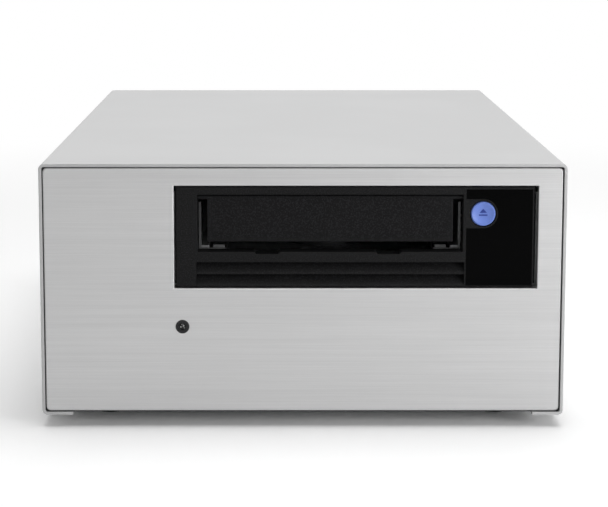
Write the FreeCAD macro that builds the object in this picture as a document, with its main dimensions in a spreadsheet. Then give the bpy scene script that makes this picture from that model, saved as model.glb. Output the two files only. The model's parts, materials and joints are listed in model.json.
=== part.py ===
"""Desktop data tape drive: a half-height drive in a table-top enclosure, in millimetres.

The frame has its origin on the table under the middle of the cover: +X is to the right of
someone who faces the front panel, +Y runs from the front panel to the rear, and +Z is up.
Every driving dimension is a cell of the spreadsheet Sizes, and every feature is bound to it.
"""

import FreeCAD
import Part
import Sketcher

import math
import os

SIZES = {
    # enclosure
    "width": 216.0,
    "depth": 330.0,
    "cover_height": 105.0,
    "foot_clear": 5.0,
    "wall": 1.2,
    "cover_radius": 2.2,
    "lip_width": 12.7,
    "steel": 1.2,
    "slip": 0.3,
    "tray_flange": 13.0,
    "bulkhead_flange": 9.0,
    "panel_gap": 0.45,
    "panel_recess": 0.5,
    "panel_thickness": 3.0,
    "panel_edge": 0.7,
    "rear_recess": 5.0,
    "foot_radius": 8.0,
    "foot_side": 26.0,
    "foot_end": 30.0,
    "vent_width": 3.0,
    "vent_length": 26.0,
    "vent_pitch": 7.0,
    # front window for the drive
    "bezel_side": 13.2,
    "bezel_drop": 9.6,
    "bezel_spare": 37.8,
    "bezel_height": 41.6,
    "bezel_recess": 1.0,
    "bezel_depth": 8.0,
    "bezel_face": 3.0,
    "bezel_wall": 1.8,
    "bezel_edge": 0.4,
    "left_gap": 0.8,
    "right_gap": 1.65,
    "end_gap": 0.55,
    # cartridge slot
    "slot_width": 109.1,
    "slot_side": 28.95,
    "slot_sill": 14.55,
    "slot_lintel": 3.2,
    "slot_wall": 2.5,
    "notch_width": 10.8,
    "notch_depth": 0.9,
    "notch_spread": 50.0,
    "louvre_lap": 0.65,
    "louvre_drop": 4.25,
    "louvre_height": 4.8,
    "louvre_land": 0.2,
    "louvre_depth": 4.0,
    "louvre_pad": 1.2,
    # cartridge door
    "door_side": 4.05,
    "door_shift": 0.1,
    "door_recess": 1.2,
    "door_thickness": 1.6,
    "door_clear": 4.15,
    "door_edge": 0.3,
    "hinge_radius": 0.95,
    "pin_radius": 0.7,
    "fit": 0.05,
    # window, tab and eject button
    "window_side": 1.15,
    "window_rim": 0.55,
    "window_head": 1.05,
    "window_thickness": 1.2,
    "button_side": 8.1,
    "button_drop": 11.13,
    "button_radius": 5.0,
    "button_gap": 0.45,
    "button_proud": 0.3,
    "button_flange": 0.8,
    "button_edge": 0.4,
    "button_dish": 0.8,
    "tab_radius": 6.05,
    # drive chassis and covers
    "drive_slack": 0.9,
    "drive_step": 0.15,
    "drive_depth": 205.0,
    "cast_wall": 2.5,
    "deck_height": 5.6,
    "deck_thickness": 2.0,
    "lid": 1.0,
    "board": 1.6,
    "connector_depth": 4.0,
    "connector_out": 5.0,
    # loader
    "tray_sheet": 1.1,
    "tray_inset": 1.15,
    "tray_drop": 0.15,
    "tray_front": 11.0,
    "tray_wing": 10.5,
    "tray_mouth": 30.0,
    "lead_width": 3.2,
    "lead_height": 4.2,
    "lead_length": 14.0,
    "pad_height": 1.2,
    "tray_length": 98.0,
    "tray_side": 19.4,
    "tray_travel": 18.0,
    "rack_module": 0.8,
    "rack_thickness": 3.0,
    "rack_back": 1.6,
    "gear_rise": 6.65,
    "gear_mesh_play": 0.12,
    "gear_back": 37.5,
    "motor_radius": 21.0,
    "motor_height": 4.4,
    "hub_radius": 11.0,
    "hub_back": 67.5,
    "shaft_radius": 1.5,
    # tape path
    "reel_shift": 0.7,
    "reel_back": 163.5,
    "reel_radius": 35.0,
    "reel_core": 20.0,
    "reel_flange": 1.2,
    "tape_width": 12.65,
    "tape_rise": 0.65,
    "roller_radius": 5.0,
    "roller_bore": 1.5,
    "head_side": 14.65,
    "head_back": 133.5,
    "post_radius": 1.2,
    "post_side": 2.6,
    "post_spread": 12.8,
    "head_width": 16.0,
    "nose_width": 5.2,
    "nose_depth": 1.6,
    # side holes and rear plugs of the drive
    "mount_near": 47.4,
    "mount_far": 126.6,
    "mount_rise": 10.0,
    "power_plug_side": 52.0,
    "power_plug": 23.0,
    "data_plug_side": 14.0,
    "data_plug": 42.0,
    # brackets
    "bracket_drop": 3.0,
    "bracket_foot": 6.0,
    # status lamp
    "lamp_side": 2.5,
    "lamp_drop": 16.5,
    "lamp_radius": 1.45,
    "holder_radius": 2.85,
    "holder_barrel": 2.45,
    "holder_length": 8.0,
    # fan
    "fan_drop": 36.0,
    "fan_size": 60.0,
    "fan_depth": 25.0,
    "fan_bore": 28.6,
    "fan_hub": 15.0,
    "fan_tip_gap": 0.9,
    "fan_hole_spread": 50.0,
    "fan_spider": 3.0,
    "fan_strut": 3.2,
    "guard_pitch": 6.4,
    "guard_wire": 1.4,
    # mains inlet and rocker switch
    "inlet_side": 38.0,
    "inlet_rise": 21.0,
    "inlet_width": 27.4,
    "inlet_height": 19.6,
    "inlet_depth": 21.0,
    "inlet_flange_width": 50.0,
    "inlet_flange_height": 24.0,
    "inlet_flange": 2.4,
    "inlet_cavity": 16.5,
    "switch_side": 38.0,
    "switch_width": 13.0,
    "switch_height": 19.4,
    "switch_depth": 15.0,
    "switch_rim": 1.2,
    "switch_flange": 1.6,
    "switch_well": 8.0,
    "switch_wall": 1.4,
    "axle_radius": 1.0,
    "axle_depth": 3.4,
    "tag_length": 6.0,
    "tag_spread": 6.8,
    # interface ports
    "port_side": 34.0,
    "port_lip": 1.2,
    "port_shell": 1.0,
    "tongue_inset": 3.0,
    "tongue": 1.2,
    "port_socket_width": 18.0,
    "port_socket_depth": 8.0,
    "port_drop": 38.0,
    "port_pitch": 22.0,
    "port_width": 27.0,
    "port_height": 11.0,
    "port_depth": 16.0,
    # power supply
    "supply_shift": 1.35,
    "supply_gap": 46.0,
    "core_side": 8.0,
    "core_back": 58.0,
    "core_width": 40.0,
    "core_depth": 16.0,
    "core_height": 30.0,
    "winding_radius": 15.0,
    "choke_side": 40.0,
    "choke_back": 40.0,
    "choke_width": 22.0,
    "can_side": 15.0,
    "can_step": 26.0,
    "can_back": 18.0,
    "can_radius": 12.0,
    "can_height": 32.0,
    "can_edge": 0.8,
    "filter_side": 24.0,
    "filter_end": 22.0,
    "filter_step": 16.0,
    "filter_height": 22.0,
    "sink_root": 6.0,
    "sink_pitch": 3.4,
    "sink_fin": 1.2,
    "sink_side": 40.0,
    "sink_back": 6.0,
    "sink_long": 34.0,
    "sink_far_side": 52.0,
    "sink_end": 6.0,
    "sink_short": 28.0,
    "socket_height": 12.0,
    "lead_socket_width": 6.0,
    "lead_socket_depth": 9.0,
    "mains_socket_width": 18.0,
    "mains_socket_side": 24.0,
    "mains_socket_end": 16.0,
    "output_socket_width": 10.0,
    "output_socket_depth": 24.0,
    "output_socket_side": 6.0,
    "output_socket_end": 30.0,
    "lamp_socket_side": 12.0,
    "lamp_socket_end": 4.0,
    "fan_socket_side": 30.0,
    "fan_socket_end": 12.0,
    "supply_width": 132.0,
    "supply_length": 112.0,
    "standoff": 5.0,
    # fasteners
    "screw_radius": 1.5,
    "screw_head": 2.8,
    "screw_cap": 1.4,
}

doc = FreeCAD.newDocument("tape_drive")
sheet = doc.addObject("Spreadsheet::Sheet", "Sizes")
for row, (alias, number) in enumerate(SIZES.items(), start=1):
    sheet.set(f"A{row}", alias)
    sheet.set(f"B{row}", str(number))
    sheet.setAlias(f"B{row}", alias)
doc.recompute()


# ---------------------------------------------------------------- lengths and bindings

class Dim:
    """A length that is known both as a spreadsheet formula and as its present value."""

    def __init__(self, formula, value):
        self.formula = formula
        self.value = value

    def __float__(self):
        return self.value

    def __add__(self, other):
        other = dim(other)
        return Dim(f"({self.formula} + {other.formula})", self.value + other.value)

    def __sub__(self, other):
        other = dim(other)
        return Dim(f"({self.formula} - {other.formula})", self.value - other.value)

    def __mul__(self, other):
        other = dim(other)
        return Dim(f"({self.formula} * {other.formula})", self.value * other.value)

    def __truediv__(self, other):
        other = dim(other)
        return Dim(f"({self.formula} / {other.formula})", self.value / other.value)

    def __neg__(self):
        return dim(0) - self

    def __radd__(self, other):
        return dim(other) + self

    def __rsub__(self, other):
        return dim(other) - self

    def __rmul__(self, other):
        return dim(other) * self


def dim(number):
    """Return number as a Dim."""
    if isinstance(number, Dim):
        return number
    return Dim(f"({float(number)!r})", float(number))


class Sheet:
    """The cells of the spreadsheet, read as attributes."""

    def __getattr__(self, alias):
        return Dim(f"Sizes.{alias}", float(sheet.get(alias)))


S = Sheet()


def bind(thing, **properties):
    """Bind properties of an object to formulas of the sheet."""
    for name, length in properties.items():
        thing.setExpression(name, dim(length).formula)


def place(thing, at, facing="up"):
    """Put an object's own origin at a point, with its own +Z turned to the facing."""
    turns = {
        "up": FreeCAD.Rotation(0, 0, 0),
        "down": FreeCAD.Rotation(FreeCAD.Vector(1, 0, 0), 180),
        "rear": FreeCAD.Rotation(FreeCAD.Vector(1, 0, 0), -90),
        "front": FreeCAD.Rotation(FreeCAD.Vector(1, 0, 0), 90),
        "right": FreeCAD.Rotation(FreeCAD.Vector(0, 1, 0), 90),
        "left": FreeCAD.Rotation(FreeCAD.Vector(0, 1, 0), -90),
    }
    start = FreeCAD.Vector(*(float(dim(length)) for length in at))
    thing.Placement = FreeCAD.Placement(start, turns[facing])
    for axis, length in zip("xyz", at):
        thing.setExpression(f"Placement.Base.{axis}", dim(length).formula)
    return thing


# ---------------------------------------------------------------- kept sub-parts

NODES = []


def keep(thing, label):
    """Name an object as a sub-part of the drive."""
    thing.Label = label
    NODES.append(thing)
    return thing


# ---------------------------------------------------------------- primitives and booleans

def block(x, y, z):
    """A box between pairs of low and high places."""
    (x0, x1), (y0, y1), (z0, z1) = x, y, z
    thing = doc.addObject("Part::Box", "Block")
    bind(thing, Length=dim(x1) - x0, Width=dim(y1) - y0, Height=dim(z1) - z0)
    return place(thing, (x0, y0, z0))


def rod(radius, length, at, facing="up"):
    """A round bar that starts at a point."""
    thing = doc.addObject("Part::Cylinder", "Rod")
    bind(thing, Radius=radius, Height=length)
    return place(thing, at, facing)


def fuse(*things):
    """One solid from several."""
    thing = doc.addObject("Part::MultiFuse", "Fuse")
    thing.Shapes = list(things)
    return thing


def cut(base, *tools):
    """The base with the tools taken away."""
    thing = doc.addObject("Part::Cut", "Cut")
    thing.Base = base
    thing.Tool = tools[0] if len(tools) == 1 else fuse(*tools)
    return thing


def group(*things):
    """Several separate solids as one sub-part."""
    thing = doc.addObject("Part::Compound", "Group")
    thing.Links = list(things)
    return thing


def solid(shape):
    """A sub-part whose shape is computed."""
    thing = doc.addObject("Part::Feature", "Solid")
    thing.Shape = shape
    return thing


def screw(at, facing, length):
    """A pan-head screw: the head's seat is at the point and the head points to the facing."""
    back = {"up": "down", "down": "up", "front": "rear", "rear": "front",
            "left": "right", "right": "left"}[facing]
    head = rod(S.screw_head, S.screw_cap, at, facing)
    shank = rod(S.screw_radius, length, at, back)
    return fuse(head, shank)


# ---------------------------------------------------------------- bodies with sketches

class Ring:
    """A closed loop of straight lines through points (u, v) of the sketch plane."""

    def __init__(self, *points):
        self.points = points

    def draw(self, sketch):
        corners = [FreeCAD.Vector(float(dim(u)), float(dim(v)), 0) for u, v in self.points]
        lines = [Part.LineSegment(a, b) for a, b in zip(corners, corners[1:] + corners[:1])]
        first = sketch.GeometryCount
        sketch.addGeometry(lines, False)
        count = len(lines)
        sketch.addConstraint([
            Sketcher.Constraint("Coincident", first + i, 2, first + (i + 1) % count, 1)
            for i in range(count)])
        for i, (u, v) in enumerate(self.points):
            for kind, length in (("DistanceX", u), ("DistanceY", v)):
                number = sketch.addConstraint(
                    Sketcher.Constraint(kind, -1, 1, first + i, 1, float(dim(length))))
                sketch.setExpression(f"Constraints[{number}]", dim(length).formula)


class Hoop:
    """A circle in the sketch plane."""

    def __init__(self, u, v, radius):
        self.centre = (dim(u), dim(v))
        self.radius = dim(radius)

    def draw(self, sketch):
        u, v = self.centre
        middle = FreeCAD.Vector(float(u), float(v), 0)
        circle = Part.Circle(middle, FreeCAD.Vector(0, 0, 1), float(self.radius))
        number = sketch.addGeometry(circle, False)
        for kind, length in (("DistanceX", u), ("DistanceY", v)):
            held = sketch.addConstraint(
                Sketcher.Constraint(kind, -1, 1, number, 3, float(length)))
            sketch.setExpression(f"Constraints[{held}]", length.formula)
        held = sketch.addConstraint(Sketcher.Constraint("Radius", number, float(self.radius)))
        sketch.setExpression(f"Constraints[{held}]", self.radius.formula)


def oblong(u, v):
    """A rectangular loop between pairs of low and high places."""
    (u0, u1), (v0, v1) = u, v
    return Ring((u0, v0), (u1, v0), (u1, v1), (u0, v1))


def draw(body, plane, offset, loops):
    """Draw loops in a sketch on one of the body's own planes, moved along its normal."""
    sketch = body.newObject("Sketcher::SketchObject", "Sketch")
    support = next(f for f in body.Origin.OriginFeatures if f.Role == f"{plane}_Plane")
    sketch.AttachmentSupport = [(support, "")]
    sketch.MapMode = "FlatFace"
    sketch.setExpression("AttachmentOffset.Base.z", dim(offset).formula)
    for loop in loops:
        loop.draw(sketch)
    return sketch


def new_body():
    """An empty body."""
    return doc.addObject("PartDesign::Body", "Body")


def extrude(body, plane, low, high, *loops):
    """Add the loops' inside between two places along the plane's axis.

    A sketch on XZ has its normal along -Y, so it lies at the high end and grows to the low one.
    """
    low, high = dim(low), dim(high)
    offset = -high if plane == "XZ" else low
    sketch = draw(body, plane, offset, loops)
    feature = body.newObject("PartDesign::Pad", "Pad")
    feature.Profile = sketch
    bind(feature, Length=high - low)
    return feature


def carve(body, plane, low, high, *loops):
    """Take the loops' inside away between two places along the plane's axis."""
    low, high = dim(low), dim(high)
    offset = -low if plane == "XZ" else high
    sketch = draw(body, plane, offset, loops)
    feature = body.newObject("PartDesign::Pocket", "Pocket")
    feature.Profile = sketch
    bind(feature, Length=high - low)
    return feature


def turned(profile, at, facing="up"):
    """A body of revolution from points (radius, height) about its own axis."""
    body = new_body()
    sketch = draw(body, "XZ", 0, [Ring(*profile)])
    feature = body.newObject("PartDesign::Revolution", "Revolution")
    feature.Profile = sketch
    feature.ReferenceAxis = (sketch, ["V_Axis"])
    feature.Angle = 360
    return place(body, at, facing)


def edges_along(body, axis, corners):
    """Names of the tip's straight edges along an axis that pass through the corners.

    A corner gives the two other coordinates, in the order X, Y, Z.
    """
    doc.recompute()
    along = "xyz".index(axis)
    across = [i for i in range(3) if i != along]
    found = []
    for number, edge in enumerate(body.Tip.Shape.Edges, start=1):
        if edge.Curve.TypeId != "Part::GeomLine":
            continue
        a, b = (edge.Vertexes[0].Point, edge.Vertexes[-1].Point)
        if any(abs(a[i] - b[i]) > 1e-6 for i in across):
            continue
        if any(all(abs(a[i] - float(dim(c))) < 1e-4 for i, c in zip(across, corner))
               for corner in corners):
            found.append(f"Edge{number}")
    return found


def round_off(body, radius, names, kind="Fillet"):
    """Fillet or chamfer named edges of the tip."""
    base = body.Tip
    feature = body.newObject(f"PartDesign::{kind}", kind)
    feature.Base = (base, names)
    bind(feature, **{"Radius" if kind == "Fillet" else "Size": radius})
    return feature


def rim_edges(body, axis, place_on_axis, inside=None):
    """Names of the tip's edges that lie in the plane at a place on an axis."""
    doc.recompute()
    index = "xyz".index(axis)
    level = float(dim(place_on_axis))
    found = []
    for number, edge in enumerate(body.Tip.Shape.Edges, start=1):
        box = edge.BoundBox
        low = (box.XMin, box.YMin, box.ZMin)[index]
        high = (box.XMax, box.YMax, box.ZMax)[index]
        if abs(low - level) > 1e-4 or abs(high - level) > 1e-4:
            continue
        if inside is None or inside(edge.BoundBox.Center):
            found.append(f"Edge{number}")
    return found


# ---------------------------------------------------------------- places shared by the pieces

front = -S.depth / 2
rear = S.depth / 2
panel_face = front + S.panel_recess
panel_back = panel_face + S.panel_thickness
bulkhead_back = panel_back + S.steel
bezel_face = panel_face + S.bezel_recess
bezel_inner = bezel_face + S.bezel_face
bezel_back = bezel_face + S.bezel_depth
drive_rear = bezel_back + S.drive_depth
rear_back = rear - S.rear_recess
rear_front = rear_back - S.steel

lip_low = S.foot_clear
tray_under = lip_low + S.wall
tray_floor = tray_under + S.steel
cover_top = lip_low + S.cover_height
inside_top = cover_top - S.wall
inside_half = S.width / 2 - S.wall
panel_half = inside_half - S.panel_gap
panel_low = tray_under + S.panel_gap
panel_high = inside_top - S.panel_gap

bezel_width = S.slot_width + S.bezel_spare
bezel_right = S.width / 2 - S.bezel_side
bezel_left = bezel_right - bezel_width
bezel_high = cover_top - S.bezel_drop
bezel_low = bezel_high - S.bezel_height
drive_x = bezel_right - bezel_width / 2
drive_left = bezel_left + S.drive_slack / 2
drive_right = bezel_right - S.drive_slack / 2
drive_low = bezel_low + S.drive_step
drive_high = bezel_high - S.drive_step
lid_under = drive_high - S.lid
deck_low = drive_low + S.deck_height
deck = deck_low + S.deck_thickness

slot_right = bezel_right - S.slot_side
slot_left = slot_right - S.slot_width
slot_x = slot_right - S.slot_width / 2
slot_low = bezel_low + S.slot_sill
slot_high = bezel_high - S.slot_lintel
hinge_y = bezel_face + S.door_recess + S.door_thickness / 2
hinge_z = slot_high - S.slip - S.hinge_radius
window_x = (slot_right + S.window_side, bezel_right - S.window_rim)
window_z = (bezel_low + S.window_rim, bezel_high - S.window_head)
button_x = slot_right + S.button_side
button_z = bezel_high - S.button_drop
lamp_x = bezel_left + S.lamp_side
lamp_z = bezel_low - S.lamp_drop

loader_half = S.slot_width / 2 - S.tray_inset
loader_front = bezel_face + S.tray_front
loader_rear = loader_front + S.tray_length
loader_top = slot_low - S.tray_drop
loader_under = loader_top - S.tray_sheet
gear_y = bezel_back + S.gear_back
gear_z = slot_low + S.gear_rise
hub_y = bezel_back + S.hub_back
reel_x = slot_x + S.reel_shift
reel_y = bezel_back + S.reel_back
head_x = slot_right + S.head_side
head_y = bezel_back + S.head_back
tape_low = slot_low + S.tape_rise

foot_x = S.width / 2 - S.foot_side
foot_y = S.depth / 2 - S.foot_end
fan_z = cover_top - S.fan_drop
inlet_x = S.width / 2 - S.inlet_side
inlet_z = lip_low + S.inlet_rise
switch_x = inlet_x - S.switch_side
port_x = S.port_side - S.width / 2
port_z = cover_top - S.port_drop
supply_x = drive_x - S.supply_shift
supply_far = rear_back - S.supply_gap
supply_near = supply_far - S.supply_length
supply_left = supply_x - S.supply_width / 2
supply_right = supply_x + S.supply_width / 2
supply_low = tray_floor + S.standoff
supply_top = supply_low + S.board


# ---------------------------------------------------------------- enclosure

def cover_sleeve():
    """Sheet-steel sleeve over the top and sides, with a return lip under each side."""
    half = S.width / 2
    lip = half - S.lip_width
    body = new_body()
    extrude(body, "XZ", front, rear, Ring(
        (-lip, lip_low), (-lip, tray_under), (-inside_half, tray_under),
        (-inside_half, inside_top), (inside_half, inside_top), (inside_half, tray_under),
        (lip, tray_under), (lip, lip_low), (half, lip_low), (half, cover_top),
        (-half, cover_top), (-half, lip_low)))
    outer = [(x, z) for x in (-half, half) for z in (lip_low, cover_top)]
    round_off(body, S.cover_radius, edges_along(body, "y", outer))
    inner = [(x, z) for x in (-inside_half, inside_half) for z in (tray_under, inside_top)]
    round_off(body, S.cover_radius - S.wall, edges_along(body, "y", inner))
    carve(body, "XY", lip_low, tray_under,
          *[Hoop(x, y, S.screw_radius + S.fit) for x, y in cover_screw_places()])
    keep(body, "cover_sleeve")


def base_tray():
    """Bottom sheet with turned-up sides, intake slots and the holes for the feet."""
    half = inside_half - S.slip
    inner = half - S.steel
    flange_top = tray_floor + S.tray_flange
    body = new_body()
    extrude(body, "XZ", bulkhead_back, rear_front, Ring(
        (-half, tray_under), (half, tray_under), (half, flange_top), (inner, flange_top),
        (inner, tray_floor), (-inner, tray_floor), (-inner, flange_top), (-half, flange_top)))
    bend = [(x, tray_under) for x in (-half, half)]
    round_off(body, S.cover_radius - S.wall, edges_along(body, "y", bend))
    slots = []
    for number in range(10):
        for bank in (-1, 1):
            middle = drive_x + bank * (S.vent_length / 2 + S.vent_width)
            y = bulkhead_back + S.vent_length + number * S.vent_pitch
            slots.append(oblong((middle - S.vent_length / 2, middle + S.vent_length / 2),
                                (y, y + S.vent_width)))
    carve(body, "XY", tray_under, tray_floor, *slots)
    holes = [Hoop(x, y, S.screw_radius + S.fit)
             for x in (-foot_x, foot_x) for y in (-foot_y, foot_y)]
    holes += [Hoop(x, y, S.screw_radius + S.fit) for x, y in cover_screw_places()]
    carve(body, "XY", tray_under, tray_floor, *holes)
    keep(body, "base_tray")


def cover_screw_places():
    """Where the sleeve's lips are screwed to the tray: (x, y)."""
    middle = S.width / 2 - S.lip_width / 2
    return [(side * middle, y) for side in (-1, 1) for y in (-foot_y, dim(0), foot_y)]


def enclosure_screws():
    """Screws through the sleeve's lips, and screws that hold the feet."""
    keep(group(*[screw((x, y, lip_low), "down", S.wall + S.steel + 2)
                 for x, y in cover_screw_places()]), "cover_screws")
    seat = S.foot_clear * 0.5
    keep(group(*[screw((x, y, seat), "down", tray_floor - seat + 1)
                 for x in (-foot_x, foot_x) for y in (-foot_y, foot_y)]), "foot_screws")


def rubber_feet():
    """Four round rubber feet, hollowed from below for their screws."""
    seat = S.foot_clear * 0.5
    hollow = S.screw_head + 1
    toe = S.foot_radius - 1
    feet = [turned([(hollow, 0), (toe, 0), (S.foot_radius, 1), (S.foot_radius, tray_under),
                    (S.screw_radius + S.fit, tray_under), (S.screw_radius + S.fit, seat),
                    (hollow, seat)], (x, y, 0))
            for x in (-foot_x, foot_x) for y in (-foot_y, foot_y)]
    keep(group(*feet), "rubber_feet")


def front_panel():
    """Aluminium front plate with its drive window and the hole of the status lamp."""
    body = new_body()
    extrude(body, "XZ", panel_face, panel_back,
            oblong((-panel_half, panel_half), (panel_low, panel_high)))
    round_off(body, S.panel_edge, rim_edges(body, "y", panel_face), "Chamfer")
    carve(body, "XZ", panel_face, panel_back, window_outline())
    inner_rim = rim_edges(body, "y", panel_face, lambda at: abs(at.x) < float(panel_half) - 2
                          and float(lamp_z) < at.z < float(panel_high) - 2)
    round_off(body, S.bezel_edge, inner_rim, "Chamfer")
    carve(body, "XZ", panel_face, panel_back,
          Hoop(lamp_x, lamp_z, S.holder_barrel + S.fit))
    keep(body, "front_panel")


def window_outline():
    """The window that the drive's bezel stands in."""
    return oblong((bezel_left - S.left_gap, bezel_right + S.right_gap),
                  (bezel_low - S.end_gap, bezel_high + S.end_gap))


def front_bulkhead():
    """Steel plate behind the front panel, with flanges that turn back inside the sleeve."""
    half = inside_half - S.slip
    high = inside_top - S.slip
    back = bulkhead_back + S.bulkhead_flange
    flange_low = tray_floor + S.tray_flange + S.slip
    body = new_body()
    low = tray_under + S.slip
    extrude(body, "XZ", panel_back, bulkhead_back, oblong((-half, half), (low, high)))
    extrude(body, "XZ", bulkhead_back, back,
            oblong((-half, -half + S.steel), (flange_low, high)))
    extrude(body, "XZ", bulkhead_back, back,
            oblong((half - S.steel, half), (flange_low, high)))
    extrude(body, "XZ", bulkhead_back, back,
            oblong((-half + S.steel, half - S.steel), (high - S.steel, high)))
    carve(body, "XZ", panel_back, bulkhead_back, window_outline(),
          Hoop(lamp_x, lamp_z, S.holder_barrel + S.fit),
          *[Hoop(x, z, S.screw_radius + S.fit) for x, z in panel_screw_places()])
    keep(body, "front_bulkhead")


def panel_screw_places():
    """Where studs of the front panel pass the bulkhead: (x, z)."""
    low = tray_floor + S.tray_flange
    high = bezel_low - 4 * S.screw_head
    inset = S.width / 2 - S.wall - S.tray_flange
    return [(x, z) for x in (-inset, inset) for z in (low, high)]


def panel_screws():
    """Screws driven from inside through the bulkhead into the front panel."""
    keep(group(*[screw((x, bulkhead_back, z), "rear", S.steel)
                 for x, z in panel_screw_places()]), "panel_screws")


def rear_panel():
    """Rear plate with the cut-outs of the fan, inlet, switch, ports and outlet slots."""
    half = inside_half - S.slip
    high = inside_top - S.slip
    flange_front = rear_front - S.bulkhead_flange
    flange_low = tray_floor + S.tray_flange + S.slip
    body = new_body()
    low = tray_under + S.slip
    extrude(body, "XZ", rear_front, rear_back, oblong((-half, half), (low, high)))
    for side in (-1, 1):
        outer, inner = side * half, side * (half - S.steel)
        x = (outer, inner) if side < 0 else (inner, outer)
        extrude(body, "XZ", flange_front, rear_front, oblong(x, (flange_low, high)))
    extrude(body, "XZ", flange_front, rear_front,
            oblong((-half + S.steel, half - S.steel), (high - S.steel, high)))
    hole = S.screw_radius + S.fit
    loops = [Hoop(drive_x, fan_z, S.fan_bore)]
    loops += [Hoop(x, z, hole) for x, z in rear_screw_places()]
    loops += [oblong((inlet_x - S.inlet_width / 2 - S.fit, inlet_x + S.inlet_width / 2 + S.fit),
                     (inlet_z - S.inlet_height / 2 - S.fit,
                      inlet_z + S.inlet_height / 2 + S.fit)),
              oblong((switch_x - S.switch_width / 2 - S.fit,
                      switch_x + S.switch_width / 2 + S.fit),
                     (inlet_z - S.switch_height / 2 - S.fit,
                      inlet_z + S.switch_height / 2 + S.fit))]
    loops += [oblong((port_x - S.port_width / 2 - S.fit, port_x + S.port_width / 2 + S.fit),
                     (z - S.port_height / 2 - S.fit, z + S.port_height / 2 + S.fit))
              for z in port_heights()]
    carve(body, "XZ", rear_front, rear_back, *loops)
    slots = [oblong((port_x - S.vent_length / 2, port_x + S.vent_length / 2),
                    (z, z + S.vent_width))
             for z in (inlet_z - S.vent_pitch + row * S.vent_pitch for row in range(4))]
    carve(body, "XZ", rear_front, rear_back, *slots)
    keep(body, "rear_panel")


def rear_screw_places():
    """Screws of the rear panel: the fan's four and the inlet's two, as (x, z)."""
    spread = S.fan_hole_spread / 2
    places = [(drive_x + i * spread, fan_z + k * spread) for i in (-1, 1) for k in (-1, 1)]
    pitch = S.inlet_flange_width / 2 - S.screw_head - 1.8
    return places + [(inlet_x + i * pitch, inlet_z) for i in (-1, 1)]


def rear_screws():
    """Screws of the fan and of the mains inlet."""
    places = rear_screw_places()
    fan = [screw((x, rear_back + S.guard_wire, z), "rear", S.guard_wire + S.steel + 6)
           for x, z in places[:4]]
    inlet = [screw((x, rear_back + S.inlet_flange, z), "rear", S.inlet_flange + S.steel + 2)
             for x, z in places[4:]]
    keep(group(*fan, *inlet), "rear_screws")


def port_heights():
    """The two interface ports' heights."""
    return [port_z - S.port_pitch / 2, port_z + S.port_pitch / 2]


# ---------------------------------------------------------------- status lamp

def status_lamp():
    """Lamp and its black holder, pressed into the front panel."""
    flange = S.panel_recess
    tail = S.holder_length
    keep(turned([(S.lamp_radius + S.fit, -tail), (S.holder_barrel, -tail),
                 (S.holder_barrel, 0), (S.holder_radius, 0), (S.holder_radius, flange * 0.4),
                 (S.holder_radius - flange * 0.6, flange), (S.lamp_radius + S.fit, flange)],
                (lamp_x, panel_face, lamp_z), "front"), "led_holder")
    lens = S.lamp_radius
    keep(turned([(0, -tail - 2), (lens, -tail - 2), (lens, -lens * 0.5), (lens * 0.87, 0),
                 (lens * 0.5, lens * 0.27), (0, flange * 0.8)],
                (lamp_x, panel_face, lamp_z), "front"), "led_lamp")


# ---------------------------------------------------------------- drive brackets

def drive_brackets():
    """Two sheet brackets that carry the drive above the tray, each with a front flange."""
    top = drive_high - S.bracket_drop
    low, high = bezel_back + S.slip, drive_rear - S.bulkhead_flange
    for side, label in ((-1, "drive_bracket_left"), (1, "drive_bracket_right")):
        inner = drive_left if side < 0 else drive_right
        outer = inner + side * S.steel
        toe = inner - side * S.bracket_foot
        body = new_body()
        extrude(body, "XZ", low, high, Ring(
            (outer, tray_floor), (outer, top), (inner, top),
            (inner, tray_floor + S.steel), (toe, tray_floor + S.steel), (toe, tray_floor)))
        x = (outer, inner) if side < 0 else (inner, outer)
        wing = outer + side * S.bracket_foot
        across = (wing, outer) if side < 0 else (outer, wing)
        extrude(body, "XZ", low, low + S.steel, oblong(across, (tray_floor, top)))
        holes = [Hoop(y, z, S.screw_radius + S.fit) for y, z in drive_screw_places()]
        span = (high - low) / 4
        slots = [oblong((low + span * number + span * 0.2, low + span * (number + 1) - span * 0.05),
                        (tray_floor + 14, drive_low - 8)) for number in range(3)]
        carve(body, "YZ", x[0], x[1], *holes, *slots)
        keep(body, label)


def drive_screw_places():
    """The standard side holes of a half-height drive: (y, z)."""
    return [(bezel_back + y, drive_low + S.mount_rise) for y in (S.mount_near, S.mount_far)]


def drive_screws():
    """Screws through the brackets into the drive's sides, and through their feet."""
    pieces = []
    for side, facing, inner in ((-1, "left", drive_left), (1, "right", drive_right)):
        outer = inner + side * S.steel
        for y, z in drive_screw_places():
            pieces.append(screw((outer, y, z), facing, S.steel + S.cast_wall - S.slip))
    keep(group(*pieces), "drive_screws")


# ---------------------------------------------------------------- drive housing

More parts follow.
